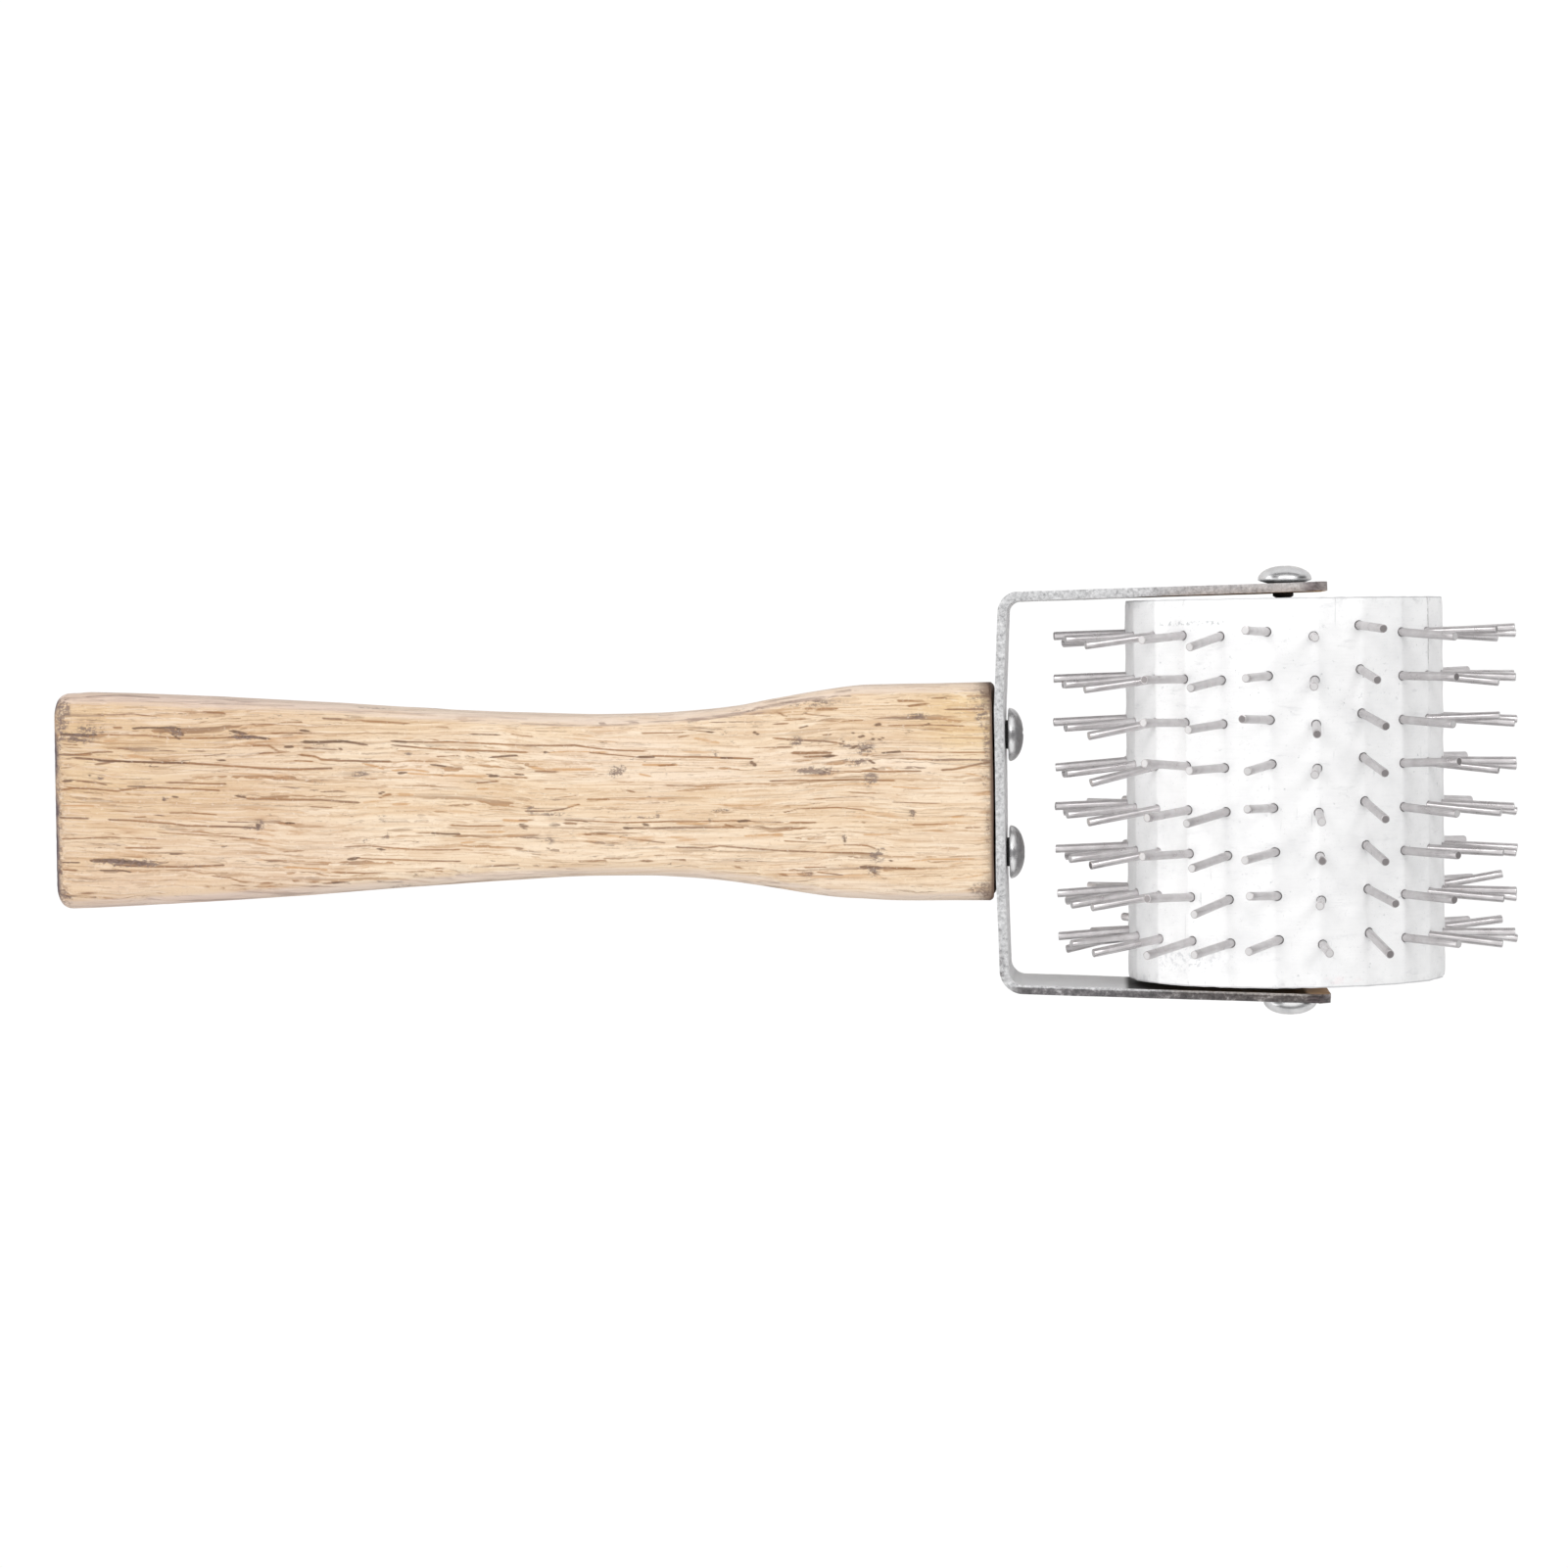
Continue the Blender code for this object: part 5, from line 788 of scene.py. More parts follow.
def build_handle(mat):
    r_edge, r_butt, chamfer = 3.1 * MM, 2.7 * MM, 0.14 * MM
    stations = []  # (x, inset)
    for i in range(9):
        a = math.radians(90 * i / 8)
        stations.append((r_butt * (1 - math.cos(a)), r_butt * (1 - math.sin(a))))
    count = int((HANDLE_LENGTH - chamfer - r_butt) / (0.55 * MM))
    for i in range(1, count + 1):
        stations.append((r_butt + (HANDLE_LENGTH - chamfer - r_butt) * i / count, 0.0))
    for i in range(1, 5):
        a = math.radians(90 * i / 4)
        stations.append((HANDLE_LENGTH - chamfer + chamfer * math.sin(a), chamfer * (1 - math.cos(a))))
    flat_top, flat_low, corner, flat_z = 250, 60, 12, 34

    def section(x, inset):
        """Ring of points round the handle, and how far each is into the rounding (0 flat, 1 mid corner)."""
        w, h = half_width(x) - inset, HANDLE_HALF_THICK - inset
        r = max(r_edge - inset * 0.6, 0.8 * MM)
        ring = []
        quads = (((w - r, h - r), 0), ((-(w - r), h - r), 90), ((-(w - r), -(h - r)), 180), ((w - r, -(h - r)), 270))
        for k, ((cy, cz), start) in enumerate(quads):
            for i in range(corner + 1):
                a = math.radians(start + 90 * i / corner)
                ring.append((cy + r * math.cos(a), cz + r * math.sin(a), 1 - abs(i / corner - 0.5) * 1.2))
            ny, nz = quads[(k + 1) % 4][0]
            a = math.radians(start + 90)
            y0, z0 = cy + r * math.cos(a), cz + r * math.sin(a)
            y1, z1 = ny + r * math.cos(a), nz + r * math.sin(a)
            n = flat_z if k % 2 else (flat_top if k == 0 else flat_low)
            for i in range(1, n):
                t = i / n
                ring.append((y0 + (y1 - y0) * t, z0 + (z1 - z0) * t, 0.0))
        return ring

    verts, faces, rounding = [], [], []
    size = None
    for x, inset in stations:
        ring = section(x, inset)
        size = len(ring)
        verts += [(x, y, z) for y, z, _ in ring]
        rounding += [e for _, _, e in ring]
    for j in range(len(stations) - 1):
        for i in range(size):
            a, b = j * size + i, j * size + (i + 1) % size
            faces.append((a, a + size, b + size, b))
    # Ends: rings closing in on the centre, so the saw cut can undulate
    for at, base, sign in ((stations[0][0], 0, 1), (stations[-1][0], (len(stations) - 1) * size, -1)):
        last = base
        for share in (0.93, 0.82, 0.66, 0.48, 0.3, 0.14):
            first = len(verts)
            for i in range(size):
                _, y, z = verts[base + i]
                verts.append((at, y * share, z * share))
                rounding.append(0.0)
            for i in range(size):
                a, b = last + i, last + (i + 1) % size
                c, d = first + (i + 1) % size, first + i
                faces.append((a, b, c, d) if sign > 0 else (b, a, d, c))
            last = first
        verts.append((at, 0, 0))
        rounding.append(0.0)
        centre = len(verts) - 1
        for i in range(size):
            a, b = last + i, last + (i + 1) % size
            faces.append((a, b, centre) if sign > 0 else (b, a, centre))
    mesh = bpy.data.meshes.new("handle_body")
    mesh.from_pydata(verts, [], faces)
    bm = bmesh.new()
    bm.from_mesh(mesh)
    bmesh.ops.recalc_face_normals(bm, faces=bm.faces)
    bm.to_mesh(mesh)
    bm.free()
    co = points_of(mesh)
    normals = np.empty(len(mesh.vertices) * 3, np.float32)
    mesh.vertex_normals.foreach_get("vector", normals)
    normals = normals.reshape(-1, 3)
    rounding = np.array(rounding)
    rng = random.Random(77)
    knocks = []  # small dents along the edges
    for _ in range(46):
        x = rng.uniform(2, 160) * MM
        knocks.append((x, math.copysign(half_width(x) - rng.uniform(0.2, 2.6) * MM, rng.uniform(-1, 1)),
                       rng.choice((-1, 1)) * (HANDLE_HALF_THICK - rng.uniform(0, 0.8) * MM), rng.uniform(0.7, 1.7) * MM, rng.uniform(0.10, 0.32) * MM))
    for mx, my, rx, ry, s in MARKS:
        if s > 0.9:
            knocks.append((mx * MM, my * MM, HANDLE_HALF_THICK, max(0.5, min(rx, ry)) * 1.1 * MM, 0.12 * s * MM))
    move = np.zeros(len(co))
    dirt = np.zeros(len(co))
    ends = np.zeros(len(co))
    for i, (x, y, z) in enumerate(co):
        p = Vector((x, y, z)) * 1000
        wave = noise.noise(Vector((p.x * 0.035, p.y * 0.11, p.z * 0.11))) * 0.10
        fibre = noise.noise(Vector((p.x * 0.07, p.y * 1.1, p.z * 1.1))) * 0.035
        worn = rounding[i] * (noise.noise(Vector((p.x * 0.14, p.y * 0.2 + 9, p.z * 0.2))) * 0.16 - 0.06)
        move[i] = (wave + fibre + worn - 0.05) * MM
    for kx, ky, kz, kr, kd in knocks:
        d2 = (co[:, 0] - kx) ** 2 + (co[:, 1] - ky) ** 2 + (co[:, 2] - kz) ** 2
        move -= kd * np.exp(-d2 / (kr * kr))
    for mx, my, rx, ry, s in MARKS:
        d2 = ((co[:, 0] - mx * MM) / (rx * MM)) ** 2 + ((co[:, 1] - my * MM) / (ry * MM)) ** 2
        dirt += s * (1.2 if mx > 153 and my > 0 else 1.0) * np.exp(-d2) * np.clip((co[:, 2] - HANDLE_HALF_THICK + 2.6 * MM) / (1.4 * MM), 0, 1)
    tones = {tone: np.zeros(len(co)) for tone in ("brown", "ochre", "dark", "pale")}
    top = np.flatnonzero(co[:, 2] > 0)
    flat = co[top, :2] * 1000
    for tone, half, s, *points in STROKES:
        xs, ys = [p[0] for p in points], [p[1] for p in points]
        near = ((flat[:, 0] > min(xs) - 2) & (flat[:, 0] < max(xs) + 2) & (flat[:, 1] > min(ys) - 1.6) & (flat[:, 1] < max(ys) + 1.6))
        at = top[near]
        tones[tone][at] = np.maximum(tones[tone][at], s * along_stroke(flat[near], half * 1.08, points))
    # The other faces get their own scattered smudges
    for _ in range(60):
        x = rng.uniform(0, 161) * MM
        side = rng.choice(("low", "left", "right"))
        y = rng.uniform(-0.95, 0.95) * half_width(x) if side == "low" else math.copysign(half_width(x), 1 if side == "left" else -1)
        z = -HANDLE_HALF_THICK if side == "low" else rng.uniform(-0.9, 0.9) * HANDLE_HALF_THICK
        rx, rr, s = rng.uniform(0.8, 5) * MM, rng.uniform(0.5, 1.3) * MM, rng.uniform(0.5, 1.1)
        d2 = ((co[:, 0] - x) / rx) ** 2 + ((co[:, 1] - y) ** 2 + (co[:, 2] - z) ** 2) / rr**2
        dirt += s * np.exp(-d2)
    from_front = HANDLE_LENGTH - co[:, 0]
    half = np.array([half_width(float(x)) for x in co[:, 0]])
    patchy = np.array([noise.noise(Vector((y * 190.0, z * 190.0, 4.0))) for _, y, z in co])
    upper = np.clip((co[:, 2] - 3 * MM) / (7 * MM), 0, 1)
    butt = (0.50 + 0.50 * upper) * np.clip(0.85 + 0.9 * patchy, 0.2, 1.1) * np.exp(-((co[:, 0] / (1.1 * MM)) ** 2))
    ends = np.maximum(np.exp(-((from_front / (0.42 * MM)) ** 3)), butt)
    nook = np.clip((np.abs(co[:, 1]) - (half - 5 * MM)) / (4 * MM), 0, 1)
    ends = np.maximum(ends, (0.48 + 0.26 * nook) * np.exp(-((from_front / ((1.5 + 1.2 * nook) * MM)) ** 2)))
    ends = np.maximum(ends, 0.36 * np.exp(-((co[:, 0] / (2.1 * MM)) ** 2)))
    on_end = (co[:, 0] < 0.2 * MM) | (from_front < 0.2 * MM)
    inside = np.minimum(half - np.abs(co[:, 1]), HANDLE_HALF_THICK - np.abs(co[:, 2]))
    ends = np.where(on_end & (inside > 3.0 * MM), 0.42, ends)
    # Greyed band: the rounding and the narrow sides
    band = np.array([1.75 + 0.55 * noise.noise(Vector((float(x) * 32, 4.0 if y > 0 else 9.0, 0.0))) for x, y in co[:, :2]]) * MM
    edge = np.clip((np.abs(co[:, 1]) - (half - band)) / (0.5 * MM), 0, 1)
    co += normals * move[:, None]
    co[:, 0] = np.clip(co[:, 0], HANDLE_LOW.x, HANDLE_HIGH.x)
    # The front end's two corners are knocked round
    round_r = 1.3 * MM
    over = np.clip(np.abs(co[:, 1]) - (half - round_r), 0, round_r)
    fade = np.clip((co[:, 0] - (HANDLE_LENGTH - 4 * MM)) / (4 * MM), 0, 1)
    co[:, 0] -= (round_r - np.sqrt(np.maximum(round_r**2 - over**2, 0))) * fade * fade * (3 - 2 * fade) * 0.85
    # The blank was cut a shade off centre
    co[:, 1] += np.interp(co[:, 0], [p[0] * MM for p in OFF_CENTRE], [p[1] * MM for p in OFF_CENTRE])
    mesh.vertices.foreach_set("co", co.astype(np.float32).ravel())
    mesh.update()
    paint(mesh, "dirt", np.clip(dirt, 0, 2.5))
    for tone, values in tones.items():
        paint(mesh, tone, values)
    paint(mesh, "edge", edge)
    paint(mesh, "ends", np.clip(ends, 0, 1))
    smooth(mesh, 50)
    return add("handle_body", mesh, mat, "handle_frame", "handle_wood", "handle")


# ------------------------------------------------------------------ yoke
def arm_y(x, end_y, splay):
    return end_y - math.copysign(math.tan(splay), end_y) * (ARM_END_X - x)


def yoke_path():
    web = WEB_X + STRIP_THICK / 2
    corners = [
        Vector((ARM_END_X, ARM_TOP_Y)),
        Vector((web + WEB_TOP_SPRUNG, arm_y(web + WEB_TOP_SPRUNG, ARM_TOP_Y, ARM_TOP_SPLAY))),
        Vector((web, WEB_BENT_FROM)),
        Vector((web, -WEB_BENT_FROM)),
        Vector((web + WEB_BOTTOM_SPRUNG, arm_y(web + WEB_BOTTOM_SPRUNG, ARM_BOTTOM_Y, ARM_BOTTOM_SPLAY))),
        Vector((ARM_END_X, ARM_BOTTOM_Y)),
    ]
    path = []

    def straight(a, b):
        n = max(2, int((b - a).length / (1.6 * MM)))
        for i in range(n + 1):
            p = a + (b - a) * (i / n)
            if not path or (p - path[-1]).length > 1e-7:
                path.append(p)

    at = corners[0]
    for before, corner, after in zip(corners, corners[1:], corners[2:]):
        a, b = (before - corner).normalized(), (after - corner).normalized()
        half = a.angle(b) / 2
        radius, steps = (YOKE_BEND, 14) if half < math.radians(60) else (WEB_CURVE, 5)
        if steps == 14 and corner.y < 0:  # this bend was made over a rounder edge
            radius += 0.7 * MM
        middle = corner + (a + b).normalized() * (radius / math.sin(half))
        start = corner + a * (radius / math.tan(half))
        end = corner + b * (radius / math.tan(half))
        straight(at, start)
        u, v = start - middle, end - middle
        turn = math.atan2(u.x * v.y - u.y * v.x, u.dot(v))
        for i in range(1, steps + 1):
            path.append(middle + Matrix.Rotation(turn * i / steps, 2) @ u)
        at = end
    straight(at, corners[-1])
    return path


def build_yoke(mat):
    bm = bmesh.new()
    line = [bm.verts.new((p.x, p.y, -STRIP_HALF)) for p in yoke_path()]
    edges = [bm.edges.new(pair) for pair in zip(line, line[1:])]
    for _ in range(14):
        grown = bmesh.ops.extrude_edge_only(bm, edges=edges)["geom"]
        bmesh.ops.translate(bm, vec=(0, 0, 2 * STRIP_HALF / 14), verts=[v for v in grown if isinstance(v, bmesh.types.BMVert)])
        edges = [e for e in grown if isinstance(e, bmesh.types.BMEdge) and abs(e.verts[0].co.z - e.verts[1].co.z) < 1e-9]
    # Rounded arm corners: pull the end columns in near the strip's edges
    radius = 2.0 * MM
    for v in bm.verts:
        over = abs(v.co.z) - (STRIP_HALF - radius)
        back = ARM_END_X - v.co.x
        if over > 0 and back < radius and abs(v.co.y) > 0.02:
            v.co.x = min(v.co.x, ARM_END_X - radius + math.sqrt(max(0.0, radius**2 - over**2)))
    bmesh.ops.recalc_face_normals(bm, faces=bm.faces)
    mesh = bpy.data.meshes.new("yoke_strip")
    bm.to_mesh(mesh)
    bm.free()
    work = bpy.data.objects.new("work", mesh)
    scene.collection.objects.link(work)
    solid = work.modifiers.new("t", "SOLIDIFY")
    solid.thickness, solid.offset, solid.use_even_offset, solid.use_quality_normals = STRIP_THICK, 0.0, True, True
    soft = work.modifiers.new("b", "BEVEL")
    soft.width, soft.segments, soft.limit_method, soft.angle_limit = 0.16 * MM, 3, "ANGLE", math.radians(60)
    soft.use_clamp_overlap = True
    mesh = evaluated(work)
    bpy.data.objects.remove(work, do_unlink=True)
    bm = bmesh.new()
    for y in HANDLE_SCREW_Y:
        bmesh.ops.create_cone(bm, cap_ends=True, segments=48, radius1=2.45 * MM, radius2=2.45 * MM, depth=12 * MM,
                              matrix=pointing((1, 0, 0), (WEB_X, y, 0)))
    for y in (34 * MM, -34 * MM):
        bmesh.ops.create_cone(bm, cap_ends=True, segments=48, radius1=1.86 * MM, radius2=1.86 * MM, depth=10 * MM,
                              matrix=pointing((0, 1, 0), (AXLE_X, y, 0)))
    cutter = bpy.data.meshes.new("holes")
    bm.to_mesh(cutter)
    bm.free()
    mesh = cut(mesh, cutter)
    mesh.name = "yoke_strip"
    # Sheared, hand-bent strip: slight unevenness
    co = points_of(mesh)
    for i, c in enumerate(co):
        p = Vector(c) * 1000
        n1 = noise.noise_vector(p * 0.09)
        n2 = noise.noise_vector(p * 0.8)
        co[i] += np.array(n1) * 0.06 * MM + np.array(n2) * 0.022 * MM
    mesh.vertices.foreach_set("co", co.astype(np.float32).ravel())
    mesh.update()
    smooth(mesh, 35)
    return add("yoke_strip", mesh, mat, "handle_frame", "galvanised_strip", "yoke")


# ------------------------------------------------------------------ screws
HEAD_R, HEAD_HIGH, HEAD_RIM = 4.5 * MM, 2.6 * MM, 0.5 * MM


def build_screw(name, mat, at, direction, body, node, length, plain, turn, nudge, seed, high, bow, neck, painted_dimming, slip, marks):
    """Mushroom-headed screw: domed head on a coned seat, cross recess, bare neck, helical thread and a point."""
    profile = [(0.0, high)]
    dome = high - HEAD_RIM
    for i in range(1, 19):
        a = math.radians(90 * i / 18)
        profile.append((HEAD_R * math.sin(a), HEAD_RIM + dome * max(0.0, math.cos(a)) ** bow))
    profile[-1] = (HEAD_R, HEAD_RIM)
    profile += [(HEAD_R - 0.05 * MM, HEAD_RIM - 0.14 * MM), (HEAD_R - 0.30 * MM, HEAD_RIM - 0.26 * MM)]
    if neck:  # the head stands off on a collar
        profile += [(2.75 * MM, 0.24 * MM), (2.45 * MM, 0.16 * MM), (2.42 * MM, -0.22 * MM)]
    else:
        profile += [(3.0 * MM, -0.14 * MM), (2.6 * MM, -0.2 * MM)]
    profile += [(1.78 * MM, -0.22 * MM), (1.74 * MM, -0.3 * MM), (1.74 * MM, -plain)]
    root, crest, pitch = 1.25 * MM, 1.74 * MM, 1.4 * MM
    profile += [(root, -plain - 0.3 * MM), (root, -(length - 3 * MM)), (root * 0.5, -(length - 1 * MM)), (0.0, -length)]
    sides = 96
    bm = bmesh.new()
    rings = []
    for r, z in profile:
        if r == 0.0:
            rings.append([bm.verts.new((0, 0, z))])
        else:
            rings.append([bm.verts.new((r * math.cos(2 * math.pi * i / sides), r * math.sin(2 * math.pi * i / sides), z)) for i in range(sides)])
    for a, b in zip(rings, rings[1:]):
        for i in range(sides):
            j = (i + 1) % sides
            if len(a) == 1:
                bm.faces.new((a[0], b[i], b[j]))
            elif len(b) == 1:
                bm.faces.new((a[i], b[0], a[j]))
            else:
                bm.faces.new((a[i], b[i], b[j], a[j]))
    bmesh.ops.recalc_face_normals(bm, faces=bm.faces)
    mesh = bpy.data.meshes.new(name)
    bm.to_mesh(mesh)
    bm.free()
    # Cross recess with tapering walls
    for quarter in (0, math.pi / 2):
        bm = bmesh.new()
        made = bmesh.ops.create_cube(
            bm, size=1.0, matrix=Matrix.Translation((0, 0, high)) @ Matrix.Diagonal((4.5 * MM, 0.95 * MM, 2.7 * MM, 1)),
        )["verts"]
        for v in made:
            if v.co.z < high:
                v.co.x *= 0.42
                v.co.y *= 0.45
        arm = bpy.data.meshes.new("cross")
        bm.to_mesh(arm)
        bm.free()
        arm.transform(Matrix.Translation((nudge, 0, 0)) @ Matrix.Rotation(quarter + 0.003, 4, "Z"))
        mesh = cut(mesh, arm)
    mesh.name = name
    # Helical thread: a ridge swept round the root, thinning out at both ends
    bm = bmesh.new()
    bm.from_mesh(mesh)
    turns = (length - plain - 3.2 * MM) / pitch
    steps = int(turns * 28)
    previous = None
    thread = []
    for i in range(steps + 1):
        t = i / steps
        a = 2 * math.pi * turns * t
        z = -plain - 0.5 * MM - pitch * turns * t
        grow = min(1.0, t * 14, (1 - t) * 10)
        tip = root - 0.1 * MM + (crest - root + 0.1 * MM) * grow
        half = 0.46 * MM * grow + 0.02 * MM
        c, s = math.cos(a), math.sin(a)
        ring = [bm.verts.new((c * r, s * r, z + dz)) for r, dz in (
            (root - 0.15 * MM, half), (tip, 0.07 * MM), (tip, -0.07 * MM), (root - 0.15 * MM, -half))]
        if previous:
            for k in range(4):
                thread.append(bm.faces.new((previous[k], ring[k], ring[(k + 1) % 4], previous[(k + 1) % 4])))
        else:
            thread.append(bm.faces.new(ring))
        previous = ring
    thread.append(bm.faces.new(previous))
    bmesh.ops.recalc_face_normals(bm, faces=thread)
    bm.to_mesh(mesh)
    bm.free()
    co = points_of(mesh)
    # Painted shade: the recess floor and everything under the head are painted dark and made rougher
    radius = np.hypot(co[:, 0], co[:, 1])
    dome_z = np.where(radius < HEAD_R, HEAD_RIM + dome * np.sqrt(np.clip(1 - (radius / HEAD_R) ** 2, 0, 1)) ** bow, HEAD_RIM)
    shade = np.where(co[:, 2] < (0.22 if neck else -0.1) * MM, 1.0, 0.0)
    shade = np.maximum(shade, np.clip((dome_z - co[:, 2]) / (0.8 * MM), 0, 1) * (co[:, 2] > 0.1 * MM) * (radius < 2.6 * MM) * 0.7)
    # Driver wear and slight out-of-round
    for i, c in enumerate(co):
        if c[2] > 0:
            n = noise.noise_vector(Vector(c) * 700 + Vector((seed, 0, 0)))
            co[i] += np.array(n) * 0.03 * MM
    mesh.vertices.foreach_set("co", co.astype(np.float32).ravel())
    mesh.transform(pointing(direction, at) @ Matrix.Rotation(turn, 4, "Z"))
    mesh.update()
    # Painted highlights and painted dark reflections, placed across the head and up from its seat, on the broad sides
    world = points_of(mesh)
    lift = (world - np.array(at)) @ np.array(direction, float)
    across = (world[:, 1] - at[1]) if direction[0] else (world[:, 0] - at[0])
    # A head struck a little off its shank
    world[:, 0] += slip * np.clip((lift + 0.29 * MM) / (0.06 * MM), 0, 1)
    mesh.vertices.foreach_set("co", world.astype(np.float32).ravel())
    mesh.update()
    glint = np.zeros(len(world))
    for kind, u, h, ru, rh, s in marks:
        q = ((across - u * MM) / (ru * MM)) ** 4 + ((lift - h * MM) / (rh * MM)) ** 2
        value = s * np.exp(-q) * (lift > 0.15 * MM)
        if kind == "glint":
            glint = np.maximum(glint, value)
        else:
            shade = np.maximum(shade, value)
    paint(mesh, "shade", shade)
    paint(mesh, "glint", glint)
    # Painted dark reflection: the head's body darkened, fading out towards its edges across the head
    paint(mesh, "painted_dimming", painted_dimming * np.clip(1 - (np.abs(across) / (4.6 * MM)) ** 4, 0, 1) * (lift > 0.2 * MM))
    smooth(mesh, 38)
    return add(name, mesh, mat, body, "zinc_screw", node)


# ------------------------------------------------------------------ needles
def row_set(row):
    step = 360.0 / ROWS
    if row in SET_ROWS:
        error, slant, shift, around, along = SET_ROWS[row]
    else:
        rng = random.Random(4100 + row)
        error, slant, shift = rng.uniform(-0.8, 0.8), rng.uniform(0.0, 0.35), rng.uniform(0.3, 1.3)
        around = [rng.uniform(-7, 7) for _ in range(PER_ROW)]
        along = [rng.uniform(-7, 4) for _ in range(PER_ROW)]
    return (math.radians(FIRST_ROW_DEG + row * step + error), math.radians(slant), shift * MM,
            [math.radians(a) for a in around], [math.radians(a) for a in along])


def row_matrix(row):
    return Matrix.Translation((AXLE_X, 0, 0)) @ Matrix.Rotation(row_set(row)[0], 4, "Y")


def needle_frames(row):
    _, slant, shift, around, along = row_set(row)
    frames = []
    for i in range(PER_ROW):
        y = shift + (3.5 - i) * ROW_PITCH
        out = Matrix.Rotation(slant * (i - 3.5), 3, "Y") @ Vector((0, 0, 1))
        side = Vector((0, 1, 0)).cross(out)
        direction = ((out * math.cos(around[i]) + side * math.sin(around[i])) * math.cos(along[i]) + Vector((0, 1, 0)) * math.sin(along[i]))
        frames.append(pointing(direction, out * SKIN_FACET_R + Vector((0, y, 0))))
    return frames


def build_needle_row(row, mat):
    rng = random.Random(900 + row)
    bright, dark, rims = [], [], []
    bm = bmesh.new()
    made = bmesh.ops.create_cube(bm, size=1.0, matrix=Matrix.Translation((0, 0, 25.2 * MM - 0.45 * MM)) @ Matrix.Diagonal((4.4 * MM, 58 * MM, 0.9 * MM, 1)))
    bmesh.ops.bevel(bm, geom=list({e for v in made["verts"] for e in v.link_edges}), offset=0.12 * MM, segments=2, profile=0.5, affect="EDGES")
    sides = 20
    for frame in needle_frames(row):
        length = NEEDLE_TIP_R - SKIN_FACET_R + rng.uniform(-0.35, 0.12) * MM
        tilt_a, tilt = rng.uniform(0, 2 * math.pi), rng.uniform(0.0, 0.12)
        bow = rng.uniform(-0.10, 0.10) * MM
        levels = [(-NEEDLE_FOOT, 1.0), (0.0, 1.0)] + [(length * k / 6, 1.0) for k in range(1, 6)] + [(length - 0.12 * MM, 1.0), (length - 0.03 * MM, 0.95), (length, 0.80)]
        previous = None
        for z, share in levels:
            ring = []
            for i in range(sides):
                a = 2 * math.pi * i / sides
                r = NEEDLE_R * share
                lift = tilt * r * math.cos(a - tilt_a) if z > length * 0.9 else 0.0
                drift = bow * (max(z, 0) / length) ** 2
                ring.append(bm.verts.new(frame @ Vector((r * math.cos(a) + drift, r * math.sin(a), z + lift))))
            if previous:
                for i in range(sides):
                    j = (i + 1) % sides
                    bm.faces.new((previous[i], previous[j], ring[j], ring[i]))
            else:
                bm.faces.new(ring[::-1])
            previous = ring
        rims.extend(previous)
        # A cropped end: a ring of its own inside the rim, so that it can carry a painted highlight or painted shade
        # apart from the shank
        middle = sum((v.co for v in previous), Vector()) / sides
        end = [bm.verts.new(middle + (v.co - middle) * 0.96) for v in previous]
        for i in range(sides):
            j = (i + 1) % sides
            bm.faces.new((previous[i], previous[j], end[j], end[i]))
        bm.faces.new(end)
        # Painted light by side: most ends on the rows towards +X painted dark, most on the rows towards -X painted
        # bright
        end_is_dark = rng.random() < (0.80 if row > 0 else 0.45 if row == 0 else 0.10)
        (dark if end_is_dark else bright).extend(end)
    bmesh.ops.recalc_face_normals(bm, faces=bm.faces)
    bm.verts.index_update()
    bright, dark, rims = [v.index for v in bright], [v.index for v in dark], [v.index for v in rims]
    name = f"needles_{row + 12:02d}"
    mesh = bpy.data.meshes.new(name)
    bm.to_mesh(mesh)
    bm.free()
    mesh.transform(row_matrix(row))
    for layer, marked in (("end_painted_highlight", bright), ("end_painted_shade", dark)):
        values = np.zeros(len(mesh.vertices))
        values[marked] = 0.85
        # Painted shade: a dark outline round each cut end's rim
        if layer == "end_painted_shade":
            values[rims] = 0.5
        paint(mesh, layer, values)
    # Painted shade: rows within about 60 degrees of the top painted darker than the outer rows, with a small random
    # tone per row on top
    paint(mesh, "tone", np.full(len(mesh.vertices), (0.86 if abs(row) < 4 else 0.98) + rng.uniform(-0.04, 0.04)))
    smooth(mesh, 50)
    return add(name, mesh, mat, "roller", "needle_wire", f"needle_row_{row + 12:02d}")


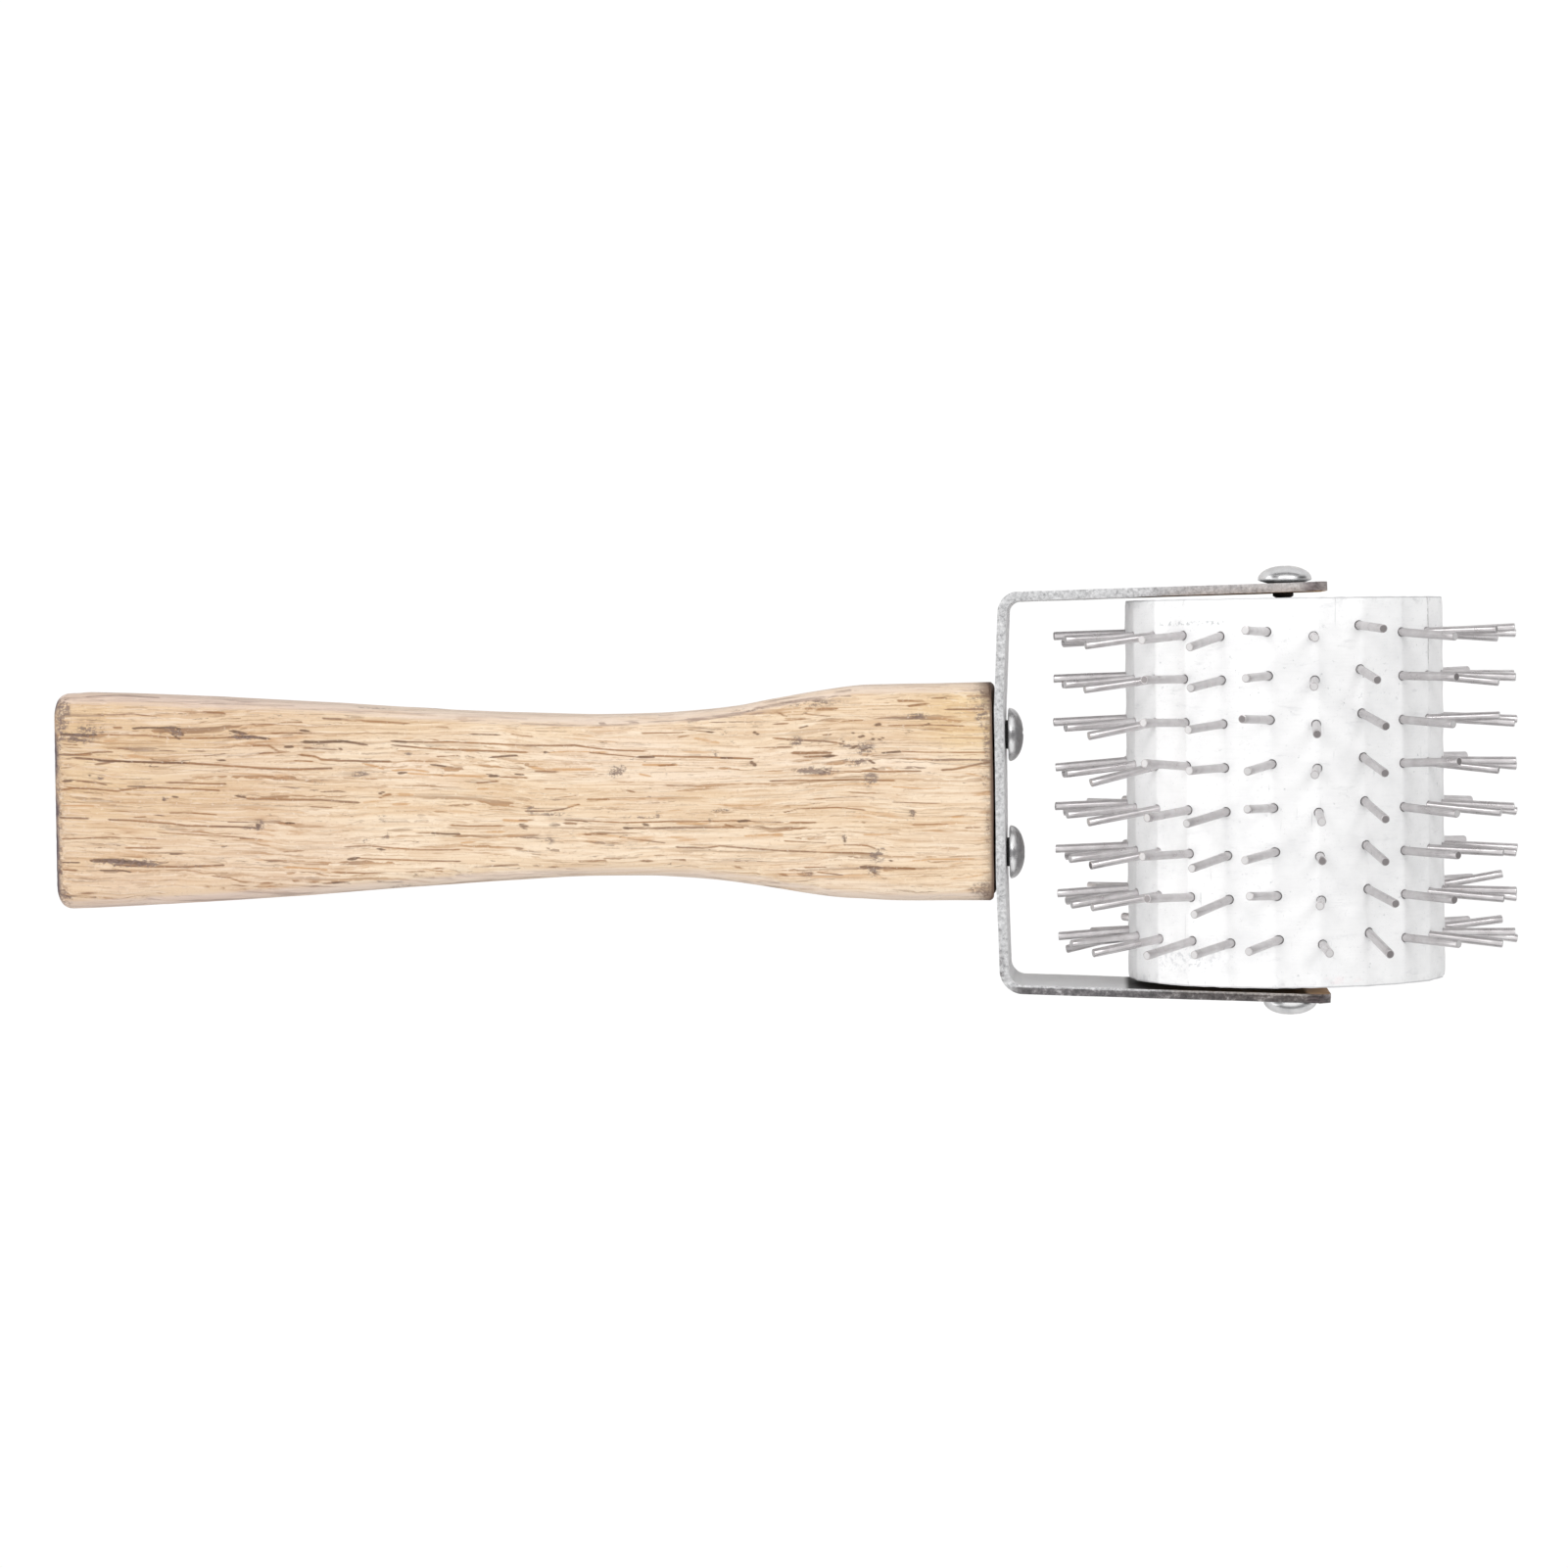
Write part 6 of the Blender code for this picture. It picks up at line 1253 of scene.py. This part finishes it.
# ------------------------------------------------------------------ drum skin
def build_skin(mat):
    creases = [(row_set(row)[0], row) for row in range(-11, 11)]
    base = [c[0] for c in creases]
    angles = []
    per = 18
    for k in range(ROWS):
        a = base[k]
        b = base[k + 1] if k + 1 < ROWS else base[0] + 2 * math.pi
        angles += [a + (b - a) * i / per for i in range(per)]
    across = 104
    ys = [-DRUM_HALF + 2 * DRUM_HALF * j / across for j in range(across + 1)]
    needles = []
    for row in range(-11, 11):
        m = row_matrix(row)
        for f in needle_frames(row):
            needles.append((m @ f).translation)
    needle_pos = np.array([tuple(n) for n in needles])

    def facet(a):
        """Radius of the creased sheet at angle a: bent along each row and pulled a little hollow between rows."""
        for k in range(ROWS):
            s = base[k]
            e = base[k + 1] if k + 1 < ROWS else base[0] + 2 * math.pi
            for turn in (0, 2 * math.pi, -2 * math.pi):
                if s <= a + turn < e:
                    mid, half = (s + e) / 2, (e - s) / 2
                    flat = SKIN_CREASE_R * math.cos(half) / math.cos(a + turn - mid)
                    return flat - 0.12 * MM * (1 - ((a + turn - mid) / half) ** 2)
        return SKIN_CREASE_R

    def crease_share(a):
        """1 on a crease, falling to 0 by a third of the facet."""
        turn = min(abs((a - s + math.pi) % (2 * math.pi) - math.pi) for s in base)
        return max(0.0, 1 - turn / math.radians(6.5)) ** 1.5

    radii = [facet(a) for a in angles]
    n = len(angles)
    outer = np.zeros((across + 1, n, 3))
    darkening = np.zeros((across + 1, n))
    for i, a in enumerate(angles):
        for j, y in enumerate(ys):
            q = Vector((math.sin(a) * 26, y * 1000, math.cos(a) * 26))
            near = crease_share(a)
            sag = near * 0.5 * (1 - math.cos(2 * math.pi * (y / ROW_PITCH + 0.5 - 0.9 * MM / ROW_PITCH))) if abs(y) < 3.9 * ROW_PITCH else 0.0
            r = radii[i] - 0.05 * MM * sag + noise.noise(q * 0.075) * 0.07 * MM + noise.noise(q * 0.32) * 0.03 * MM
            outer[j, i] = (AXLE_X + r * math.sin(a), y, r * math.cos(a))
    # Sheet pushed up round each needle, with a quilted sag between
    flat = outer.reshape(-1, 3)
    lift = np.zeros(len(flat))
    dirt = np.zeros(len(flat))
    for c in needle_pos:
        d2 = ((flat - c) ** 2).sum(1)
        lift += 0.09 * MM * np.exp(-d2 / (1.6 * MM) ** 2)
        dirt += np.exp(-d2 / (1.15 * MM) ** 2)
    outward = flat - np.array((AXLE_X, 0, 0))
    outward[:, 1] = 0
    outward /= np.linalg.norm(outward, axis=1)[:, None]
    flat = flat + outward * lift[:, None]
    # Rims curl in a touch
    rim = np.clip((np.abs(flat[:, 1]) - (DRUM_HALF - 1.2 * MM)) / (1.2 * MM), 0, 1)
    flat = flat - outward * (rim**2 * 0.16 * MM)[:, None]
    inner = flat - outward * SKIN_THICK
    edge_noise = np.array([noise.noise(Vector((math.sin(a) * 9, 0, math.cos(a) * 9))) for a in angles]) * 0.12 * MM
    for block in (flat, inner):
        grid = block.reshape(across + 1, n, 3)
        grid[0, :, 1] += np.abs(edge_noise)
        grid[-1, :, 1] -= np.abs(edge_noise[::-1])
    verts = np.concatenate([flat, inner])
    count = len(flat)
    faces = []
    for j in range(across):
        for i in range(n):
            a, b = j * n + i, j * n + (i + 1) % n
            faces.append((a, b, b + n, a + n))
            faces.append((count + a, count + a + n, count + b + n, count + b))
    for i in range(n):
        k = (i + 1) % n
        faces.append((i, count + i, count + k, k))
        a, b = across * n + i, across * n + k
        faces.append((a, b, count + b, count + a))
    mesh = bpy.data.meshes.new("drum_sheet")
    mesh.from_pydata(verts.tolist(), [], faces)
    bm = bmesh.new()
    bm.from_mesh(mesh)
    bmesh.ops.recalc_face_normals(bm, faces=bm.faces)
    bm.to_mesh(mesh)
    bm.free()
    # Punched holes, each a little wider than its needle
    bm = bmesh.new()
    for row in range(-11, 11):
        m = row_matrix(row)
        for f in needle_frames(row):
            bmesh.ops.create_cone(bm, cap_ends=True, segments=20, radius1=0.80 * MM, radius2=0.80 * MM, depth=3.2 * MM, matrix=m @ f)
    holes = bpy.data.meshes.new("holes")
    bm.to_mesh(holes)
    bm.free()
    mesh = cut(mesh, holes)
    mesh.name = "drum_sheet"
    # A darkening mask round each needle, for the sheet's colour
    co = points_of(mesh)
    dirt = np.zeros(len(co))
    for c in needle_pos:
        d2 = ((co - c) ** 2).sum(1)
        dirt += np.exp(-d2 / (1.25 * MM) ** 2)
    paint(mesh, "darkening", np.clip(dirt, 0, 1))
    smooth(mesh, 32)
    return add("drum_sheet", mesh, mat, "roller", "aluminium_sheet", "drum_skin")


# ------------------------------------------------------------------ put it together
wood, strip, sheet, wire, zinc = wood_material(), strip_material(), sheet_material(), wire_material(), screw_material()
build_handle(wood)
build_yoke(strip)
# Handle screws: head bodies darkened as a painted dark reflection, with two painted highlights and a painted dark band
# between them
for i, (y, turn, nudge) in enumerate(zip(HANDLE_SCREW_Y, (0.06, 0.80), (0.3 * MM, 0.0))):
    build_screw(f"handle_screw_head_{i + 1}", zinc, (WEB_X + STRIP_THICK + 0.3 * MM, y, 0), (1, 0, 0), "handle_frame", f"handle_screw_{i + 1}", 19 * MM, 2.4 * MM, turn, nudge, 11 + i,
                2.8 * MM, 1.05, True, 0.55, 0.0, (("glint", 2.0, 0.85, 1.15, 0.45, 1.3), ("glint", -2.05, 0.85, 1.15, 0.45, 1.3), ("dark", 0.0, 0.9, 0.55, 0.6, 0.45)))
# Axle screws: painted dark reflection spots and a painted highlight on each head
for i, side in enumerate((1, -1)):
    end, splay = (ARM_TOP_Y, ARM_TOP_SPLAY) if side > 0 else (ARM_BOTTOM_Y, ARM_BOTTOM_SPLAY)
    outer_y = arm_y(AXLE_X, end, splay) + side * STRIP_THICK / 2 / math.cos(splay)
    build_screw(f"axle_screw_body_{i + 1}", zinc, (AXLE_X, outer_y + side * 0.25 * MM, 0), (0, side, 0), "roller", f"axle_screw_{i + 1}", 19 * MM, 2.3 * MM, 0.35 + 0.5 * i, 0.0, 21 + i,
                2.8 * MM, 0.98, False, 0.0, (0.30 if side > 0 else 0.55) * MM, ((("dark", -1.75, 0.85, 0.65, 0.24, 0.85), ("dark", 2.75, 0.75, 0.85, 0.34, 0.95), ("dark", -3.2, 0.22, 1.3, 0.16, 0.8), ("glint", 0.4, 0.75, 1.3, 0.4, 0.8)) if side > 0 else
                                             (("dark", -2.2, 0.55, 0.8, 0.24, 0.8), ("dark", 2.6, 0.6, 0.7, 0.30, 1.0), ("glint", 0.2, 0.6, 1.6, 0.4, 0.8))))
build_skin(sheet)
core = frame["nodes"]["drum_core"]
core.data.materials.clear()
core.data.materials.append(end_grain_material())
for row in range(-11, 11):
    build_needle_row(row, wire)


# ------------------------------------------------------------------ stage, light, camera
def floor_material():
    """Pale floor: white to the camera, a soft grey bounce to everything else, open from below."""
    g = Graph("floor_white")
    cloud = g.noise(g.mm, 0.004, detail=3.0)
    colour = g.ramp(cloud, ((0.3, (0.70, 0.70, 0.70)), (0.7, (0.74, 0.74, 0.74))))
    g.finish(Base_Color=colour, Roughness=0.9)
    path = g.tree.nodes.new("ShaderNodeLightPath")
    geo = g.tree.nodes.new("ShaderNodeNewGeometry")
    glow = g.tree.nodes.new("ShaderNodeEmission")
    glow.inputs[0].default_value = (1, 1, 1, 1)
    glow.inputs[1].default_value = 1.02
    clear = g.tree.nodes.new("ShaderNodeBsdfTransparent")
    seen, side = g.tree.nodes.new("ShaderNodeMixShader"), g.tree.nodes.new("ShaderNodeMixShader")
    g.tree.links.new(path.outputs["Is Camera Ray"], seen.inputs[0])
    g.tree.links.new(g.bsdf.outputs[0], seen.inputs[1])
    g.tree.links.new(glow.outputs[0], seen.inputs[2])
    g.tree.links.new(geo.outputs["Backfacing"], side.inputs[0])
    g.tree.links.new(seen.outputs[0], side.inputs[1])
    g.tree.links.new(clear.outputs[0], side.inputs[2])
    g.tree.links.new(side.outputs[0], g.out.inputs[0])
    return g.mat


bm = bmesh.new()
bmesh.ops.create_grid(bm, x_segments=8, y_segments=8, size=1.6, matrix=Matrix.Translation((0.12, 0, CAD_BOX[0].z - 0.4 * MM)))
floor_mesh = bpy.data.meshes.new("floor")
bm.to_mesh(floor_mesh)
bm.free()
floor = bpy.data.objects.new("floor", floor_mesh)
scene.collection.objects.link(floor)
floor_mesh.materials.append(floor_material())

# Soft studio: a bright ceiling, a panel at either end of the tool and a dim room beyond its long sides
TOP, ROOM, PANEL_LEFT, PANEL_RIGHT = 1.11, 0.34, 1.95, 0.92
world = bpy.data.worlds.new("studio")
scene.world = world
world.use_nodes = True
tree = world.node_tree
back = tree.nodes["Background"]


def world_math(op, a, b=None, c=None):
    n = tree.nodes.new("ShaderNodeMath")
    n.operation = op
    for socket, value in zip(n.inputs, (a, b, c)):
        if isinstance(value, bpy.types.NodeSocket):
            tree.links.new(value, socket)
        elif value is not None:
            socket.default_value = value
    return n.outputs[0]


def world_span(v, low, high):
    n = tree.nodes.new("ShaderNodeMapRange")
    n.interpolation_type = "SMOOTHSTEP"
    tree.links.new(v, n.inputs["Value"])
    n.inputs["From Min"].default_value, n.inputs["From Max"].default_value = low, high
    return n.outputs[0]


coord = tree.nodes.new("ShaderNodeTexCoord")
split = tree.nodes.new("ShaderNodeSeparateXYZ")
tree.links.new(coord.outputs["Generated"], split.inputs[0])
sky = world_math("MULTIPLY_ADD", world_span(split.outputs[2], 0.35, 0.80), TOP - ROOM, ROOM)
over = world_span(split.outputs[2], -0.10, 0.10)
right = world_math("MULTIPLY", world_math("MULTIPLY", world_span(split.outputs[0], 0.55, 0.85), over), PANEL_RIGHT)
left = world_math("MULTIPLY", world_math("MULTIPLY", world_span(world_math("MULTIPLY", split.outputs[0], -1.0), 0.55, 0.85), over), PANEL_LEFT)
tree.links.new(world_math("MAXIMUM", sky, world_math("MAXIMUM", left, right)), back.inputs["Strength"])
back.inputs["Color"].default_value = (1, 1, 1, 1)


def softbox(name, at, target, w, h, power):
    light = bpy.data.lights.new(name, "AREA")
    light.shape, light.size, light.size_y, light.energy = "RECTANGLE", w, h, power
    obj = bpy.data.objects.new(name, light)
    obj.location = at
    obj.rotation_euler = (Vector(target) - Vector(at)).to_track_quat("-Z", "Y").to_euler()
    scene.collection.objects.link(obj)
    obj.visible_camera = False
    return obj


CENTRE = (0.125, 0.0, 0.0)
softbox("key_left", (-0.30, 0.50, 0.85), CENTRE, 0.35, 0.35, 1.7)
softbox("key_right", (0.60, 0.45, 0.85), CENTRE, 0.35, 0.35, 1.7)

cam_data = bpy.data.cameras.new("camera")
cam = bpy.data.objects.new("camera", cam_data)
scene.collection.objects.link(cam)
cam_data.sensor_width = 36.0
cam_data.sensor_fit = "HORIZONTAL"
cam_data.angle = math.radians(20.825)
tilt = Matrix.Rotation(0.0108, 3, "Z") @ Matrix.Rotation(-0.0749, 3, "Y") @ Matrix.Rotation(0.0336, 3, "X")
cam.matrix_world = Matrix.Translation((AXLE_X - 0.03038, 0.02582, 0.72318)) @ tilt.transposed().to_4x4()
cam_data.clip_start, cam_data.clip_end = 0.05, 20
scene.camera = cam

scene.view_settings.view_transform = "Standard"
scene.view_settings.look = "None"
scene.view_settings.exposure = 0.0
scene.view_settings.gamma = 1.0
